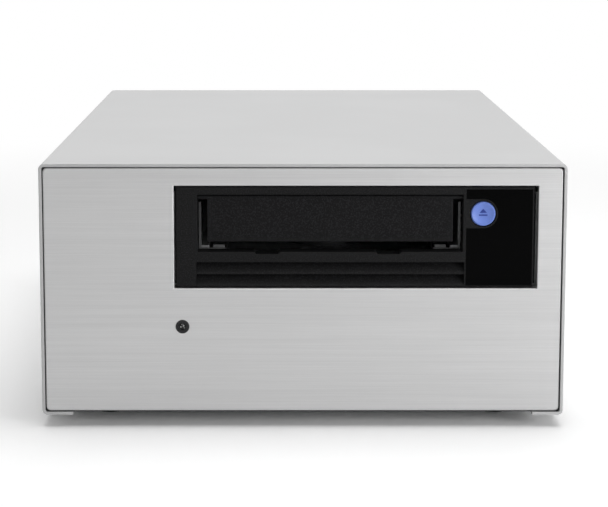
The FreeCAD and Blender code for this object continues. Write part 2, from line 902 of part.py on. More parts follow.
def drive_base():
    """Cast chassis of the drive: side walls, a deck, tray rails and board posts."""
    wall = S.cast_wall
    body = new_body()
    extrude(body, "XZ", bezel_back, drive_rear, Ring(
        (drive_left, drive_low), (drive_left + wall, drive_low), (drive_left + wall, deck_low),
        (drive_right - wall, deck_low), (drive_right - wall, drive_low), (drive_right, drive_low),
        (drive_right, lid_under), (drive_right - wall, lid_under), (drive_right - wall, deck),
        (drive_left + wall, deck), (drive_left + wall, lid_under), (drive_left, lid_under)))
    inside = (drive_left + wall, drive_right - wall)
    extrude(body, "XZ", drive_rear - wall, drive_rear, oblong(inside, (deck, lid_under)))
    rail_top = loader_under - S.slip
    for side in (-1, 1):
        outer = slot_x + side * (loader_half + S.tray_sheet)
        inner = outer - side * 5
        x = (outer, inner) if side < 0 else (inner, outer)
        extrude(body, "XY", deck, rail_top, oblong(x, (bezel_back, loader_rear + 12)))
    carve(body, "XY", deck_low, deck,
          Hoop(slot_x, hub_y, S.shaft_radius + 2),
          Hoop(reel_x, reel_y, S.shaft_radius + 2))
    carve(body, "YZ", drive_left, drive_left + wall,
          *[Hoop(y, z, S.screw_radius + S.fit) for y, z in drive_screw_places()])
    carve(body, "YZ", drive_right - wall, drive_right,
          *[Hoop(y, z, S.screw_radius + S.fit) for y, z in drive_screw_places()])
    carve(body, "XZ", drive_rear - wall, drive_rear,
          oblong((reel_x - 9, reel_x + 9), (deck + 8, deck + 14)))
    carve(body, "XY", deck_low, deck, *[
        oblong((x - S.slip, x + width + S.slip),
               (drive_rear - S.connector_depth - S.slip, drive_rear))
        for x, width in connector_places()])
    posts = [Hoop(x, y, 2.5) for x, y in board_post_places()]
    extrude(body, "XY", drive_low + 3.6, deck_low, *posts)
    keep(body, "drive_base")


def connector_places():
    """Low end and width of the power and data connectors at the drive's rear."""
    return ((drive_x - S.power_plug_side, S.power_plug), (drive_x - S.data_plug_side, S.data_plug))


def board_post_places():
    """Posts under the deck that carry the main board: (x, y)."""
    inset = S.cast_wall + 6
    return [(x, y) for x in (drive_left + inset, drive_right - inset)
            for y in (bezel_back + 20, drive_rear - 24)]


def drive_lid():
    """Sheet lid of the drive with shallow stiffening ribs."""
    body = new_body()
    extrude(body, "XY", lid_under, drive_high,
            oblong((drive_left, drive_right), (bezel_back, drive_rear)))
    ribs = [oblong((drive_x + i * 34 - 3, drive_x + i * 34 + 3),
                   (bezel_back + 24, drive_rear - 24)) for i in (-1, 0, 1)]
    carve(body, "XY", drive_high - S.lid * 0.4, drive_high, *ribs)
    keep(body, "drive_top_cover")


def main_board():
    """Circuit board under the deck, with its chips and the rear connectors."""
    inset = S.cast_wall + S.slip
    top = drive_low + 3.6
    low = top - S.board
    plate = block((drive_left + inset, drive_right - inset),
                  (bezel_back + 6, drive_rear - S.connector_depth), (low, top))
    chips = [block((drive_x + x, drive_x + x + size), (y, y + size), (low - 1.2, low))
             for x, y, size in ((-44, -120, 20), (-4, -104, 27), (36, -112, 14),
                                (-40, -60, 16), (6, -48, 20))]
    keep(fuse(plate, *chips), "main_board")
    ports = [block((x, x + width), (drive_rear - S.connector_depth, drive_rear + S.connector_out),
                   (low - 0.4, top + 3.4)) for x, width in connector_places()]
    keep(group(*ports), "drive_connectors")


# ---------------------------------------------------------------- bezel group

def tab_loops(margin):
    """The rounded tab round the eject button, grown by a margin."""
    reach = S.tab_radius + margin
    return (oblong((window_x[0] - 1, button_x), (button_z - reach, button_z + reach)),
            Hoop(button_x, button_z, reach))


def drive_bezel():
    """Moulded bezel: slot, door bearings, finger notches, louvres and the window's seat."""
    wall, face = S.bezel_wall, bezel_face
    body = new_body()
    extrude(body, "XZ", face, bezel_back,
            oblong((bezel_left, bezel_right), (bezel_low, bezel_high)))
    round_off(body, S.bezel_edge, rim_edges(body, "y", face))

    # hollows behind the face, round the slot's own walls
    slot_out = S.slot_wall
    right_room = slot_right + slot_out
    low_room = (bezel_low + wall, slot_low - slot_out)
    carve(body, "XZ", bezel_inner, bezel_back,
          oblong((right_room, bezel_right - wall), (bezel_low + wall, bezel_high - wall)))
    carve(body, "XZ", bezel_inner, bezel_back,
          oblong((bezel_left + wall, right_room - wall), low_room))
    carve(body, "XZ", bezel_inner, bezel_back,
          oblong((bezel_left + wall, slot_left - slot_out), (slot_low, bezel_high - wall)))

    # the slot, right through
    carve(body, "XZ", face, bezel_back,
          oblong((slot_left, slot_right), (slot_low, slot_high)))

    # finger notches in the sill, with slanted ends
    for side in (-1, 1):
        middle = slot_x - 1 + side * S.notch_spread / 2
        half = S.notch_width / 2
        carve(body, "XZ", face, bezel_back, Ring(
            (middle - half, slot_low), (middle - half + S.notch_depth,
                                          slot_low - S.notch_depth),
            (middle + half - S.notch_depth, slot_low - S.notch_depth),
            (middle + half, slot_low)))

    # two louvres: deep under the top edge, running out flush at the bottom, each with a pad
    # behind it
    ends = (slot_left - S.louvre_lap, slot_right + S.louvre_lap)
    pad = S.louvre_pad
    for number in range(2):
        top = slot_low - S.louvre_drop - number * (S.louvre_height + S.louvre_land)
        bottom = top - S.louvre_height
        extrude(body, "YZ", ends[0] - pad, ends[1] + pad, Ring(
            (bezel_inner - pad, bottom + S.louvre_height / 2),
            (face + S.louvre_depth + pad, top - pad / 2),
            (face + S.louvre_depth + pad, top + pad), (bezel_inner - pad, top + pad)))
        carve(body, "YZ", ends[0], ends[1], Ring(
            (face - 1, bottom), (face, bottom), (face + S.louvre_depth, top), (face - 1, top)))

    # bearings of the door's pins
    bore_left = slot_left - slot_out + 0.4
    carve(body, "YZ", bore_left, slot_right + slot_out - 0.4,
          Hoop(hinge_y, hinge_z, S.pin_radius + S.fit))

    # seat of the window, with the tab left standing round the button
    seat = face + S.window_thickness
    carve(body, "XZ", face, seat, oblong(window_x, window_z))
    for loop in tab_loops(0):
        extrude(body, "XZ", face, seat, loop)
    carve(body, "XZ", face, bezel_inner, Hoop(button_x, button_z,
                                              S.button_radius + S.button_gap))
    keep(body, "drive_bezel")


def status_window():
    """Gloss window in its seat, cut away round the tab."""
    play = S.fit
    body = new_body()
    (left, right), (low, high) = window_x, window_z
    extrude(body, "XZ", bezel_face, bezel_face + S.window_thickness,
            oblong((left + play, right - play), (low + play, high - play)))
    for loop in tab_loops(play):
        carve(body, "XZ", bezel_face, bezel_face + S.window_thickness, loop)
    keep(body, "status_window")


def cartridge_door():
    """Door flap hung from a hinge barrel, with pins that turn in the bezel."""
    left = slot_left + S.door_side - S.door_shift
    right = slot_right - S.door_side - S.door_shift
    door_face = bezel_face + S.door_recess
    body = new_body()
    extrude(body, "XZ", door_face, door_face + S.door_thickness,
            oblong((left, right), (slot_low + S.door_clear, hinge_z)))
    round_off(body, S.door_edge, rim_edges(body, "y", door_face))
    extrude(body, "YZ", slot_left + S.slip, slot_right - S.slip,
            Hoop(hinge_y, hinge_z, S.hinge_radius))
    extrude(body, "YZ", slot_left - S.slot_wall + 0.8, slot_right + S.slot_wall - 0.8,
            Hoop(hinge_y, hinge_z, S.pin_radius))
    keep(body, "cartridge_door")


def eject_button():
    """Eject button with a round dish, and a flange that keeps it behind the bezel."""
    flange = S.button_flange
    tip = S.bezel_face + flange + S.button_proud + S.slip
    radius, edge = S.button_radius, S.button_edge
    foot = bezel_inner + flange + S.slip
    body = turned([(0, 0), (radius, 0), (radius, tip - edge), (radius - edge, tip), (0, tip)],
                  (button_x, foot, button_z), "front")
    reach = radius + S.button_gap + 1
    extrude(body, "XY", 0, flange, oblong((-radius + 1, radius - 1), (-reach, reach)))
    rim = radius - edge * 1.25
    ball_radius = (rim * rim + S.button_dish * S.button_dish) / (2 * S.button_dish)
    ball = doc.addObject("Part::Sphere", "Dish")
    bind(ball, Radius=ball_radius)
    place(ball, (button_x, foot - tip - ball_radius + S.button_dish, button_z))
    keep(cut(body, ball), "eject_button")


def operator_board():
    """Small board behind the bezel, with the eject switch and the window's lamps."""
    low, high = bezel_back, bezel_back + S.board
    plate = block((slot_right + S.slip, drive_right - S.cast_wall - 0.6),
                  (low, high), (deck + 0.6, lid_under - 1.2))
    column = window_x[1] - 12
    row = window_z[0]
    lamps = [block((column + x, column + x + 2), (low - 1.2, low), (z, z + 3))
             for x in (0, 5) for z in (row + 8, row + 14)]
    keep(fuse(plate, *lamps), "operator_board")
    can = block((button_x - 3, button_x + 3), (low - 1.8, low),
                (button_z - 3, button_z + 3))
    nub = rod(1.6, 0.3, (button_x, low - 1.8, button_z), "front")
    keep(fuse(can, nub), "eject_switch")


# ---------------------------------------------------------------- loader

def rack_line():
    """X of the rack's pitch line."""
    return slot_x + loader_half + S.tray_sheet + S.rack_back + S.rack_module * 1.25


def loader_tray():
    """Sheet tray that carries the cartridge, with lead-in ramps and a toothed rack."""
    low, high = loader_front, loader_rear
    inner, outer = loader_half, loader_half + S.tray_sheet
    top = loader_top + S.tray_side
    left, right = slot_x - outer, slot_x + outer
    body = new_body()
    extrude(body, "XZ", low, high, Ring(
        (left, loader_under), (right, loader_under), (right, top), (slot_x + inner, top),
        (slot_x + inner, loader_top), (slot_x - inner, loader_top),
        (slot_x - inner, top), (left, top)))
    reach = S.hub_radius + 5
    carve(body, "XY", loader_under, loader_top,
          oblong((slot_x - reach, slot_x + reach),
                 (hub_y - reach - S.tray_travel, hub_y + reach)))
    carve(body, "XY", loader_under, loader_top,
          oblong((slot_x - 40, slot_x - 24), (low + 16, high - 16)),
          oblong((slot_x + 24, slot_x + 40), (low + 16, high - 16)))
    wing = inner - S.tray_wing
    carve(body, "XY", loader_under, loader_top,
          oblong((slot_x - wing, slot_x + wing), (low, low + S.tray_mouth)))
    for side in (-1, 1):
        wall, edge = slot_x + side * inner, slot_x + side * (inner - S.lead_width)
        x = (wall, edge) if side < 0 else (edge, wall)
        extrude(body, "YZ", x[0], x[1], Ring(
            (low, loader_top), (low + S.lead_length, loader_top),
            (low + S.lead_length, loader_top + S.lead_height),
            (low + S.lead_length / 2, loader_top + S.lead_height),
            (low, loader_top + S.lead_height / 4)))
        near, far = edge - side * S.lead_width / 2, edge - side * S.lead_width * 2
        x = (near, far) if side < 0 else (far, near)
        extrude(body, "XY", loader_top, loader_top + S.pad_height,
                oblong(x, (low + 1, low + 6)))
    keep_rack(body, right)
    keep(body, "cartridge_tray")


def keep_rack(body, right):
    """Add the rack on the tray's right side: straight-flanked teeth of the gear's module."""
    half_tooth = S.rack_module * math.pi / 4
    slope = math.tan(math.radians(20))
    line = rack_line()
    root, tip = line - S.rack_module * 1.25, line + S.rack_module
    low, high = gear_z - S.rack_thickness / 2, gear_z + S.rack_thickness / 2
    pitch = S.rack_module * math.pi
    first = -3
    count = 13
    points = [(right, gear_y - pitch * (count + first - 0.5)),
              (root, gear_y - pitch * (count + first - 0.5))]
    for number in range(count):
        middle = gear_y - pitch * (count + first - 1 - number)
        foot = half_tooth - S.gear_mesh_play + S.rack_module * 1.25 * slope
        crest = half_tooth - S.gear_mesh_play - S.rack_module * slope
        points += [(root, middle - foot), (tip, middle - crest),
                   (tip, middle + crest), (root, middle + foot)]
    points += [(root, gear_y - pitch * (first - 0.5)),
               (right, gear_y - pitch * (first - 0.5))]
    extrude(body, "XY", low, high, Ring(*points))


def involute_gear(module, teeth, play, low, high, bore_radius):
    """A spur gear about Z with involute flanks; a gap between teeth points along -X."""
    pitch_radius = module * teeth / 2
    base_radius = pitch_radius * math.cos(math.radians(20))
    tip_radius = pitch_radius + module
    root_radius = pitch_radius - 1.25 * module
    half_angle = math.pi / (2 * teeth) - play / pitch_radius

    def roll(radius):
        """Angle that the involute has turned at a radius."""
        if radius <= base_radius:
            return 0.0
        angle = math.acos(base_radius / radius)
        return math.tan(angle) - angle

    flank_radii = [root_radius] + [
        base_radius + (tip_radius - base_radius) * step / 3 for step in range(4)]
    points = []
    for number in range(teeth):
        middle = math.pi + (number + 0.5) * 2 * math.pi / teeth
        for radius in flank_radii:
            angle = middle - half_angle + roll(radius) - roll(pitch_radius)
            points.append((radius, angle))
        for radius in reversed(flank_radii):
            angle = middle + half_angle - roll(radius) + roll(pitch_radius)
            points.append((radius, angle))
    corners = [FreeCAD.Vector(r * math.cos(a), r * math.sin(a), low) for r, a in points]
    outline = Part.Wire(Part.makePolygon(corners + corners[:1]))
    wheel = Part.Face(outline).extrude(FreeCAD.Vector(0, 0, high - low))
    if bore_radius:
        wheel = wheel.cut(Part.makeCylinder(bore_radius, high - low,
                                            FreeCAD.Vector(0, 0, low)))
    return wheel


GEAR_TEETH = 18


def loader_drive():
    """Gear that moves the tray by its rack, and the gear motor that it stands on."""
    module = float(S.rack_module)
    radius = S.rack_module * GEAR_TEETH / 2
    x = rack_line() + radius
    motor_top = gear_z - S.rack_thickness / 2 - 1
    half = float(S.rack_thickness) / 2
    wheel = involute_gear(module, GEAR_TEETH, float(S.gear_mesh_play), -half, half, 0)
    shaft = Part.makeCylinder(float(S.shaft_radius), half + 6 + 1.2,
                              FreeCAD.Vector(0, 0, -half - 6))
    gear = solid(wheel.fuse(shaft))
    keep(place(gear, (x, gear_y, gear_z)), "loader_gear")
    case = block((x - 4, x + 12), (gear_y - 11, gear_y + 11), (deck, motor_top))
    can = rod(7.2, 20, (x + 4.5, gear_y + 11, deck + 7.3), "rear")
    bore = rod(S.shaft_radius + S.fit, 8, (x, gear_y, motor_top - 8))
    keep(cut(fuse(case, can), bore), "loader_motor")


# ---------------------------------------------------------------- reels

def reel_motor(x, y, radius, top):
    """Flat motor on the deck, with the bore that its hub's shaft turns in."""
    bore = S.shaft_radius + S.fit
    return turned([(bore, 0), (radius, 0), (radius, top - deck - 0.8),
                   (radius - 0.8, top - deck), (bore, top - deck)], (x, y, deck))


def reels():
    """Supply motor with its toothed clutch, and the take-up reel on its own motor."""
    top = deck + S.motor_height
    keep(reel_motor(slot_x, hub_y, S.motor_radius, top), "supply_motor")
    shaft = S.shaft_radius
    base = top + S.slip
    height = slot_low - 0.6 - base
    clutch = turned([(0, -4), (shaft, -4), (shaft, 0), (S.hub_radius, 0),
                     (S.hub_radius, height * 0.6), (S.hub_radius - 2.4, height * 0.6),
                     (S.hub_radius - 2.4, height * 0.3), (4, height * 0.3), (4, height),
                     (0, height)], (slot_x, hub_y, base))
    tooth = extrude(clutch, "XY", height * 0.6, height,
                    Ring((S.hub_radius - 2.2, -1), (S.hub_radius - 0.2, -0.6),
                         (S.hub_radius - 0.2, 0.6), (S.hub_radius - 2.2, 1)))
    ring_of(clutch, tooth, 12)
    keep(clutch, "supply_clutch")

    keep(reel_motor(reel_x, reel_y, S.motor_radius, top), "takeup_motor")
    low = base
    flange = S.reel_flange
    waist = tape_low - 0.4 - low
    crown = waist + S.tape_width + 0.8
    reel = turned([(0, -4), (shaft, -4), (shaft, 0), (S.reel_core, 0),
                   (S.reel_core, waist - flange), (S.reel_radius, waist - flange),
                   (S.reel_radius, waist), (S.reel_core, waist), (S.reel_core, crown),
                   (S.reel_radius, crown), (S.reel_radius, crown + flange),
                   (6, crown + flange), (6, crown - 3), (0, crown - 3)],
                  (reel_x, reel_y, low))
    hole = carve(reel, "XY", crown, crown + flange, Hoop(S.reel_core + 7, 0, 3.4))
    ring_of(reel, hole, 6)
    notch = carve(reel, "XY", waist, crown,
                  oblong((S.reel_core - 5, S.reel_core + 1), (-2.2, 2.2)))
    reel.Tip = notch
    keep(reel, "takeup_reel")


def ring_of(body, feature, count):
    """Repeat a feature round the body's own Z axis."""
    pattern = body.newObject("PartDesign::PolarPattern", "Ring")
    pattern.Originals = [feature]
    axis = next(f for f in body.Origin.OriginFeatures if f.Role == "Z_Axis")
    pattern.Axis = (axis, [""])
    pattern.Angle = 360
    pattern.Occurrences = count
    body.Tip = pattern
    return pattern


# ---------------------------------------------------------------- tape path

def roller_places():
    """The four guide rollers round the head: name and (x, y)."""
    x, y = head_x, head_y
    return (("guide_roller_1", x - 3, y - 26), ("guide_roller_2", x + 2, y - 13),
            ("guide_roller_3", x + 2, y + 13), ("guide_roller_4", x - 3, y + 26))


def tape_path():
    """Guide rollers on their pins, and the head on its actuator."""
    low = tape_low - 2
    height = S.tape_width + 4
    bore = S.roller_bore + S.fit
    pins = []
    for label, x, y in roller_places():
        waist = S.roller_radius - 0.6
        keep(turned([(bore, 0), (S.roller_radius, 0), (S.roller_radius, 1.2), (waist, 1.8),
                     (waist, height - 1.8), (S.roller_radius, height - 1.2),
                     (S.roller_radius, height), (bore, height)], (x, y, low)), label)
        foot = low - S.slip - deck
        pins.append(turned([(0, 0), (4, 0), (4, foot), (S.roller_bore, foot),
                            (S.roller_bore, foot + S.slip + height + S.slip),
                            (2.6, foot + S.slip + height + S.slip),
                            (2.6, foot + S.slip + height + 1.6), (0, foot + S.slip + height + 1.6)],
                           (x, y, deck)))
    keep(group(*pins), "roller_pins")

    tape_high = tape_low + S.tape_width
    half = S.head_width / 2
    span = (head_y - half, head_y + half)
    frame_x = (head_x + 5.6, drive_right - S.cast_wall)
    frame = block(frame_x, span, (deck, tape_high + 6))
    spots = [(head_x + S.post_side, head_y + side * S.post_spread / 2) for side in (-1, 1)]
    posts = [rod(S.post_radius, S.tape_width + 9, (x, y, deck)) for x, y in spots]
    shelf = block((head_x, frame_x[0]), span, (deck, deck + 3))
    keep(fuse(frame, shelf, *posts), "head_actuator")
    nose_x = head_x - S.nose_depth * 1.5
    core_x = nose_x + S.nose_depth
    core = block((core_x, frame_x[0] - S.slip), span, (tape_low, tape_high))
    nose = block((nose_x, core_x), (head_y - S.nose_width / 2, head_y + S.nose_width / 2),
                 (tape_low, tape_high))
    holes = [rod(S.post_radius + S.fit, S.tape_width + 2, (x, y, tape_low - 1))
             for x, y in spots]
    keep(cut(fuse(core, nose), *holes), "tape_head")


# ---------------------------------------------------------------- fan

def fan():
    """Axial fan behind the drive: frame with struts, bladed rotor and wire guard."""
    half = S.fan_size / 2
    at = (drive_x, rear_front, fan_z)
    depth = S.fan_depth
    frame = new_body()
    extrude(frame, "XY", -depth, 0, oblong((-half, half), (-half, half)))
    round_off(frame, 3, edges_along(frame, "z", [(x, y) for x in (-half, half)
                                                 for y in (-half, half)]))
    carve(frame, "XY", -depth, 0, Hoop(0, 0, S.fan_bore))
    spider = S.fan_spider - depth
    extrude(frame, "XY", -depth, spider, Hoop(0, 0, S.fan_hub),
            Hoop(0, 0, S.shaft_radius + S.fit))
    half_strut = S.fan_strut / 2
    across = (-half_strut, half_strut)
    inner, outer = S.fan_hub - 0.5, S.fan_bore + 0.5
    for span in ((inner, outer), (-outer, -inner)):
        extrude(frame, "XY", -depth, spider, oblong(span, across))
        extrude(frame, "XY", -depth, spider, oblong(across, span))
    spread = S.fan_hole_spread / 2
    carve(frame, "XY", -depth, 0, *[Hoop(i * spread, k * spread, S.screw_radius + S.fit)
                                    for i in (-1, 1) for k in (-1, 1)])
    keep(place(frame, at, "rear"), "fan_housing")

    low = spider + S.slip
    high = dim(-2)
    tail = low - S.fan_spider + 0.5
    rotor = turned([(0, tail), (S.shaft_radius, tail), (S.shaft_radius, low),
                    (S.fan_hub, low), (S.fan_hub, high - 1), (S.fan_hub - 1, high), (0, high)],
                   at, "rear")
    blade = fan_blade(rotor, low + 1, high - 1)
    ring_of(rotor, blade, 7)
    keep(rotor, "fan_impeller")

    thick = S.guard_wire
    guard = new_body()
    rings = []
    for number in range(4):
        radius = S.fan_bore - number * S.guard_pitch
        rings += [Hoop(0, 0, radius), Hoop(0, 0, radius - thick)]
    extrude(guard, "XY", 0, thick, *rings)
    arm = S.fan_hole_spread / 2
    lug = S.screw_head + 0.4
    extrude(guard, "XY", 0, thick, *[Hoop(i * arm, k * arm, lug)
                                     for i in (-1, 1) for k in (-1, 1)])
    bar = thick * 0.7
    near = (S.fan_bore - 3 * S.guard_pitch - thick / 2) * math.sqrt(0.5)
    for i in (-1, 1):
        for k in (-1, 1):
            extrude(guard, "XY", 0, thick, Ring(
                (i * near - k * bar, k * near + i * bar), (i * near + k * bar, k * near - i * bar),
                (i * arm + k * bar, k * arm - i * bar), (i * arm - k * bar, k * arm + i * bar)))
    carve(guard, "XY", 0, thick, *[Hoop(i * arm, k * arm, S.screw_radius + S.fit)
                                   for i in (-1, 1) for k in (-1, 1)])
    keep(place(guard, (drive_x, rear_back, fan_z), "rear"), "fan_guard")


def fan_blade(rotor, low, high):
    """One twisted blade, lofted from the hub out to the tip."""
    middle = (low + high) / 2
    sketches = []
    for radius, lean, span in ((S.fan_hub - 1, 4.6, 0.9),
                               (S.fan_bore - S.fan_tip_gap - 2.2, 9.6, 0.62)):
        rise = (high - low) / 2 * span
        thin = 0.8
        sketches.append(draw(rotor, "YZ", radius, [Ring(
            (-lean - thin, middle - rise), (-lean + thin, middle - rise),
            (lean + thin, middle + rise), (lean - thin, middle + rise))]))
    loft = rotor.newObject("PartDesign::AdditiveLoft", "Blade")
    loft.Profile = sketches[0]
    loft.Sections = sketches[1:]
    loft.Ruled = True
    return loft


# ---------------------------------------------------------------- mains inlet and switch

def mains_inlet():
    """Three-pin inlet with its flange, chamfered cavity and solder tags."""
    half_w, half_h = S.inlet_width / 2, S.inlet_height / 2
    at = (inlet_x, rear_back, inlet_z)
    body = new_body()
    flange_w, flange_h = S.inlet_flange_width / 2, S.inlet_flange_height / 2
    extrude(body, "XY", 0, S.inlet_flange, oblong((-flange_w, flange_w), (-flange_h, flange_h)))
    round_off(body, 5, edges_along(body, "z", [(x, y) for x in (-flange_w, flange_w)
                                               for y in (-flange_h, flange_h)]))
    extrude(body, "XY", -S.inlet_depth, 0, oblong((-half_w, half_w), (-half_h, half_h)))
    cavity_w, cavity_h = half_w - 1.6, half_h - 1.6
    floor_at = S.inlet_flange - S.inlet_cavity
    corner = 4.2
    carve(body, "XY", floor_at, S.inlet_flange, Ring(
        (-cavity_w, cavity_h), (-cavity_w, -cavity_h + corner), (-cavity_w + corner, -cavity_h),
        (cavity_w - corner, -cavity_h), (cavity_w, -cavity_h + corner), (cavity_w, cavity_h)))
    pitch = flange_w - S.screw_head - 1.8
    carve(body, "XY", 0, S.inlet_flange, *[Hoop(i * pitch, 0, S.screw_radius + S.fit)
                                           for i in (-1, 1)])
    slots = [oblong((x - 1, x + 1), (y - 2, y + 2)) for x, y in inlet_pin_places()]
    carve(body, "XY", -S.inlet_depth, floor_at, *slots)
    keep(place(body, at, "rear"), "power_inlet")

    pins = []
    for x, y in inlet_pin_places():
        pin = new_body()
        extrude(pin, "XY", -S.inlet_depth - S.tag_length, S.inlet_flange - 4,
                oblong((x - 1, x + 1), (y - 2, y + 2)))
        pins.append(place(pin, at, "rear"))
    keep(group(*pins), "inlet_pins")


def inlet_pin_places():
    """Line, neutral and earth pins in the inlet's own plane: (x, y)."""
    return ((-7, 2), (7, 2), (0, -2))


def rocker_switch():
    """Rocker switch: a framed body and a rocker on its own trunnions."""
    half_w, half_h = S.switch_width / 2, S.switch_height / 2
    at = (switch_x, rear_back, inlet_z)
    flange, rim, wall = S.switch_flange, S.switch_rim, S.switch_wall
    body = new_body()
    extrude(body, "XY", 0, flange, oblong((-half_w - rim, half_w + rim),
                                          (-half_h - rim, half_h + rim)))
    extrude(body, "XY", -S.switch_depth, 0, oblong((-half_w, half_w), (-half_h, half_h)))
    carve(body, "XY", flange - S.switch_well, flange,
          oblong((-half_w + wall, half_w - wall), (-half_h + wall, half_h - wall)))
    axle = flange - S.axle_depth
    carve(body, "YZ", -half_w + 0.3, half_w - 0.3, Hoop(0, axle, S.axle_radius + S.fit))
    extrude(body, "XY", -S.switch_depth - S.tag_length, -S.switch_depth,
            *[oblong((x - 0.4, x + 0.4), (-2.4, 2.4))
              for x in (-S.tag_spread / 2, S.tag_spread / 2)])
    keep(place(body, at, "rear"), "switch_body")

    cap_w = half_w - wall - S.slip
    cap_h = half_h - wall - 0.9
    rocker = new_body()
    extrude(rocker, "YZ", -cap_w, cap_w, Ring(
        (-cap_h, -0.6), (-cap_h * 0.25, -2.2), (cap_h * 0.25, -2.2), (cap_h, -0.6),
        (cap_h, 1.2), (0, 2.6), (-cap_h + 0.7, 4.2)))
    extrude(rocker, "YZ", -half_w + 0.6, half_w - 0.6, Hoop(0, 0, S.axle_radius))
    keep(place(rocker, (switch_x, rear_back + axle, inlet_z), "rear"), "switch_rocker")


# ---------------------------------------------------------------- interface ports

def interface_ports():
    """Two serial-interface receptacles on a small board behind the rear panel."""
    half_w, half_h = S.port_width / 2, S.port_height / 2
    lip, wall = S.port_lip, S.port_shell
    shells = []
    for z in port_heights():
        shell = new_body()
        extrude(shell, "XY", -S.port_depth, lip, oblong((-half_w, half_w), (-half_h, half_h)))
        carve(shell, "XY", -S.port_depth + wall * 2, lip,
              oblong((-half_w + wall, half_w - wall), (-half_h + wall, half_h - wall)))
        tongue = half_h - S.tongue_inset * 0.8
        extrude(shell, "XY", -S.port_depth, -wall * 2,
                oblong((-half_w + S.tongue_inset, half_w - S.tongue_inset),
                       (tongue - S.tongue, tongue)))
        shells.append(place(shell, (port_x, rear_back, z), "rear"))
    keep(group(*shells), "sas_ports")
    board_rear = rear_back - S.port_depth
    edge = half_w + S.tongue_inset
    plate = block((port_x - edge, port_x + edge),
                  (board_rear - S.board, board_rear),
                  (port_z - S.port_pitch, port_z + S.port_pitch))
    socket_front = board_rear - S.board - S.port_socket_depth
    half = S.port_socket_width / 2
    socket = block((port_x - half, port_x + half), (socket_front, board_rear - S.board),
                   (port_z - S.port_socket_depth / 2, port_z + S.port_socket_depth / 2))
    keep(fuse(plate, socket), "port_board")


# ---------------------------------------------------------------- power supply

def supply_sockets():
    """The power supply's connectors: low corner (x, y), then width, depth and height."""
    deep, tall = S.lead_socket_depth, S.socket_height
    narrow = S.lead_socket_width
    return {
        "mains": (supply_right - S.mains_socket_side, supply_far - S.mains_socket_end,
                  S.mains_socket_width, deep, tall),
        "output": (supply_left + S.output_socket_side, supply_far - S.output_socket_end,
                   S.output_socket_width, S.output_socket_depth, tall),
        "lamp": (supply_left + S.lamp_socket_side, supply_near + S.lamp_socket_end,
                 narrow, deep, deep),
        "fan": (supply_left + S.fan_socket_side, supply_far - S.fan_socket_end,
                narrow, deep, deep),
    }


def power_supply():
    """Open-frame power supply on posts under the drive."""
    inset = S.standoff
    corners = [(x, y) for x in (supply_left + inset, supply_right - inset)
               for y in (supply_near + inset, supply_far - inset)]
    plate = new_body()
    extrude(plate, "XY", supply_low, supply_top,
            oblong((supply_left, supply_right), (supply_near, supply_far)))
    carve(plate, "XY", supply_low, supply_top, *[Hoop(x, y, S.screw_radius) for x, y in corners])
    keep(plate, "psu_board")
    posts = [rod(S.standoff * 0.6, S.standoff, (x, y, tray_floor)) for x, y in corners]
    keep(group(*posts), "psu_standoffs")

    core_x = supply_x + S.core_side
    core_y = supply_near + S.core_back
    half, deep, tall = S.core_width / 2, S.core_depth / 2, S.core_height
    core = block((core_x - half, core_x + half), (core_y - deep, core_y + deep),
                 (supply_top, supply_top + tall))
    winding = rod(S.winding_radius, tall * 0.6, (core_x, core_y, supply_top + tall * 0.2))
    choke = block((supply_right - S.choke_side, supply_right - S.choke_side + S.choke_width),
                  (supply_near + S.choke_back, core_y), (supply_top, supply_top + tall * 2 / 3))
    keep(group(fuse(core, winding), choke), "psu_transformer")

    large = [(supply_right - S.can_side, supply_near + S.can_back),
             (supply_right - S.can_side - S.can_step, supply_near + S.can_back)]
    small = [(supply_left + S.filter_side, supply_far - S.filter_end),
             (supply_left + S.filter_side, supply_far - S.filter_end - S.filter_step),
             (supply_left + S.filter_side + S.filter_step,
              supply_far - S.filter_end - S.filter_step / 2)]
    cans = [(x, y, S.can_radius, S.can_height) for x, y in large]
    cans += [(x, y, S.can_radius / 2, S.filter_height) for x, y in small]
    edge = S.can_edge
    keep(group(*[turned([(0, 0), (radius, 0), (radius, high - edge), (radius - edge, high),
                         (0, high)], (x, y, supply_top)) for x, y, radius, high in cans]),
         "psu_capacitors")

    sinks = []
    root, crest = supply_top + S.sink_root, supply_top + tall
    pitch, fin = S.sink_pitch, S.sink_fin
    for x, y, length in (
            (supply_left + S.sink_side, supply_near + S.sink_back, S.sink_long),
            (supply_right - S.sink_far_side, supply_far - S.sink_short - S.sink_end,
             S.sink_short)):
        body = new_body()
        comb = [(x, supply_top), (x, crest)]
        for number in range(4):
            start = x + pitch * number
            comb += [(start + fin, crest), (start + fin, root), (start + pitch, root),
                     (start + pitch, crest)]
        last = x + pitch * 4 + fin
        comb += [(last, crest), (last, supply_top)]
        extrude(body, "XZ", y, y + length, Ring(*comb))
        sinks.append(body)
    keep(group(*sinks), "psu_heatsinks")

    keep(group(*[block((x, x + wide), (y, y + back), (supply_top, supply_top + high))
                 for x, y, wide, back, high in supply_sockets().values()]), "psu_connectors")


# ---------------------------------------------------------------- wiring inside the case

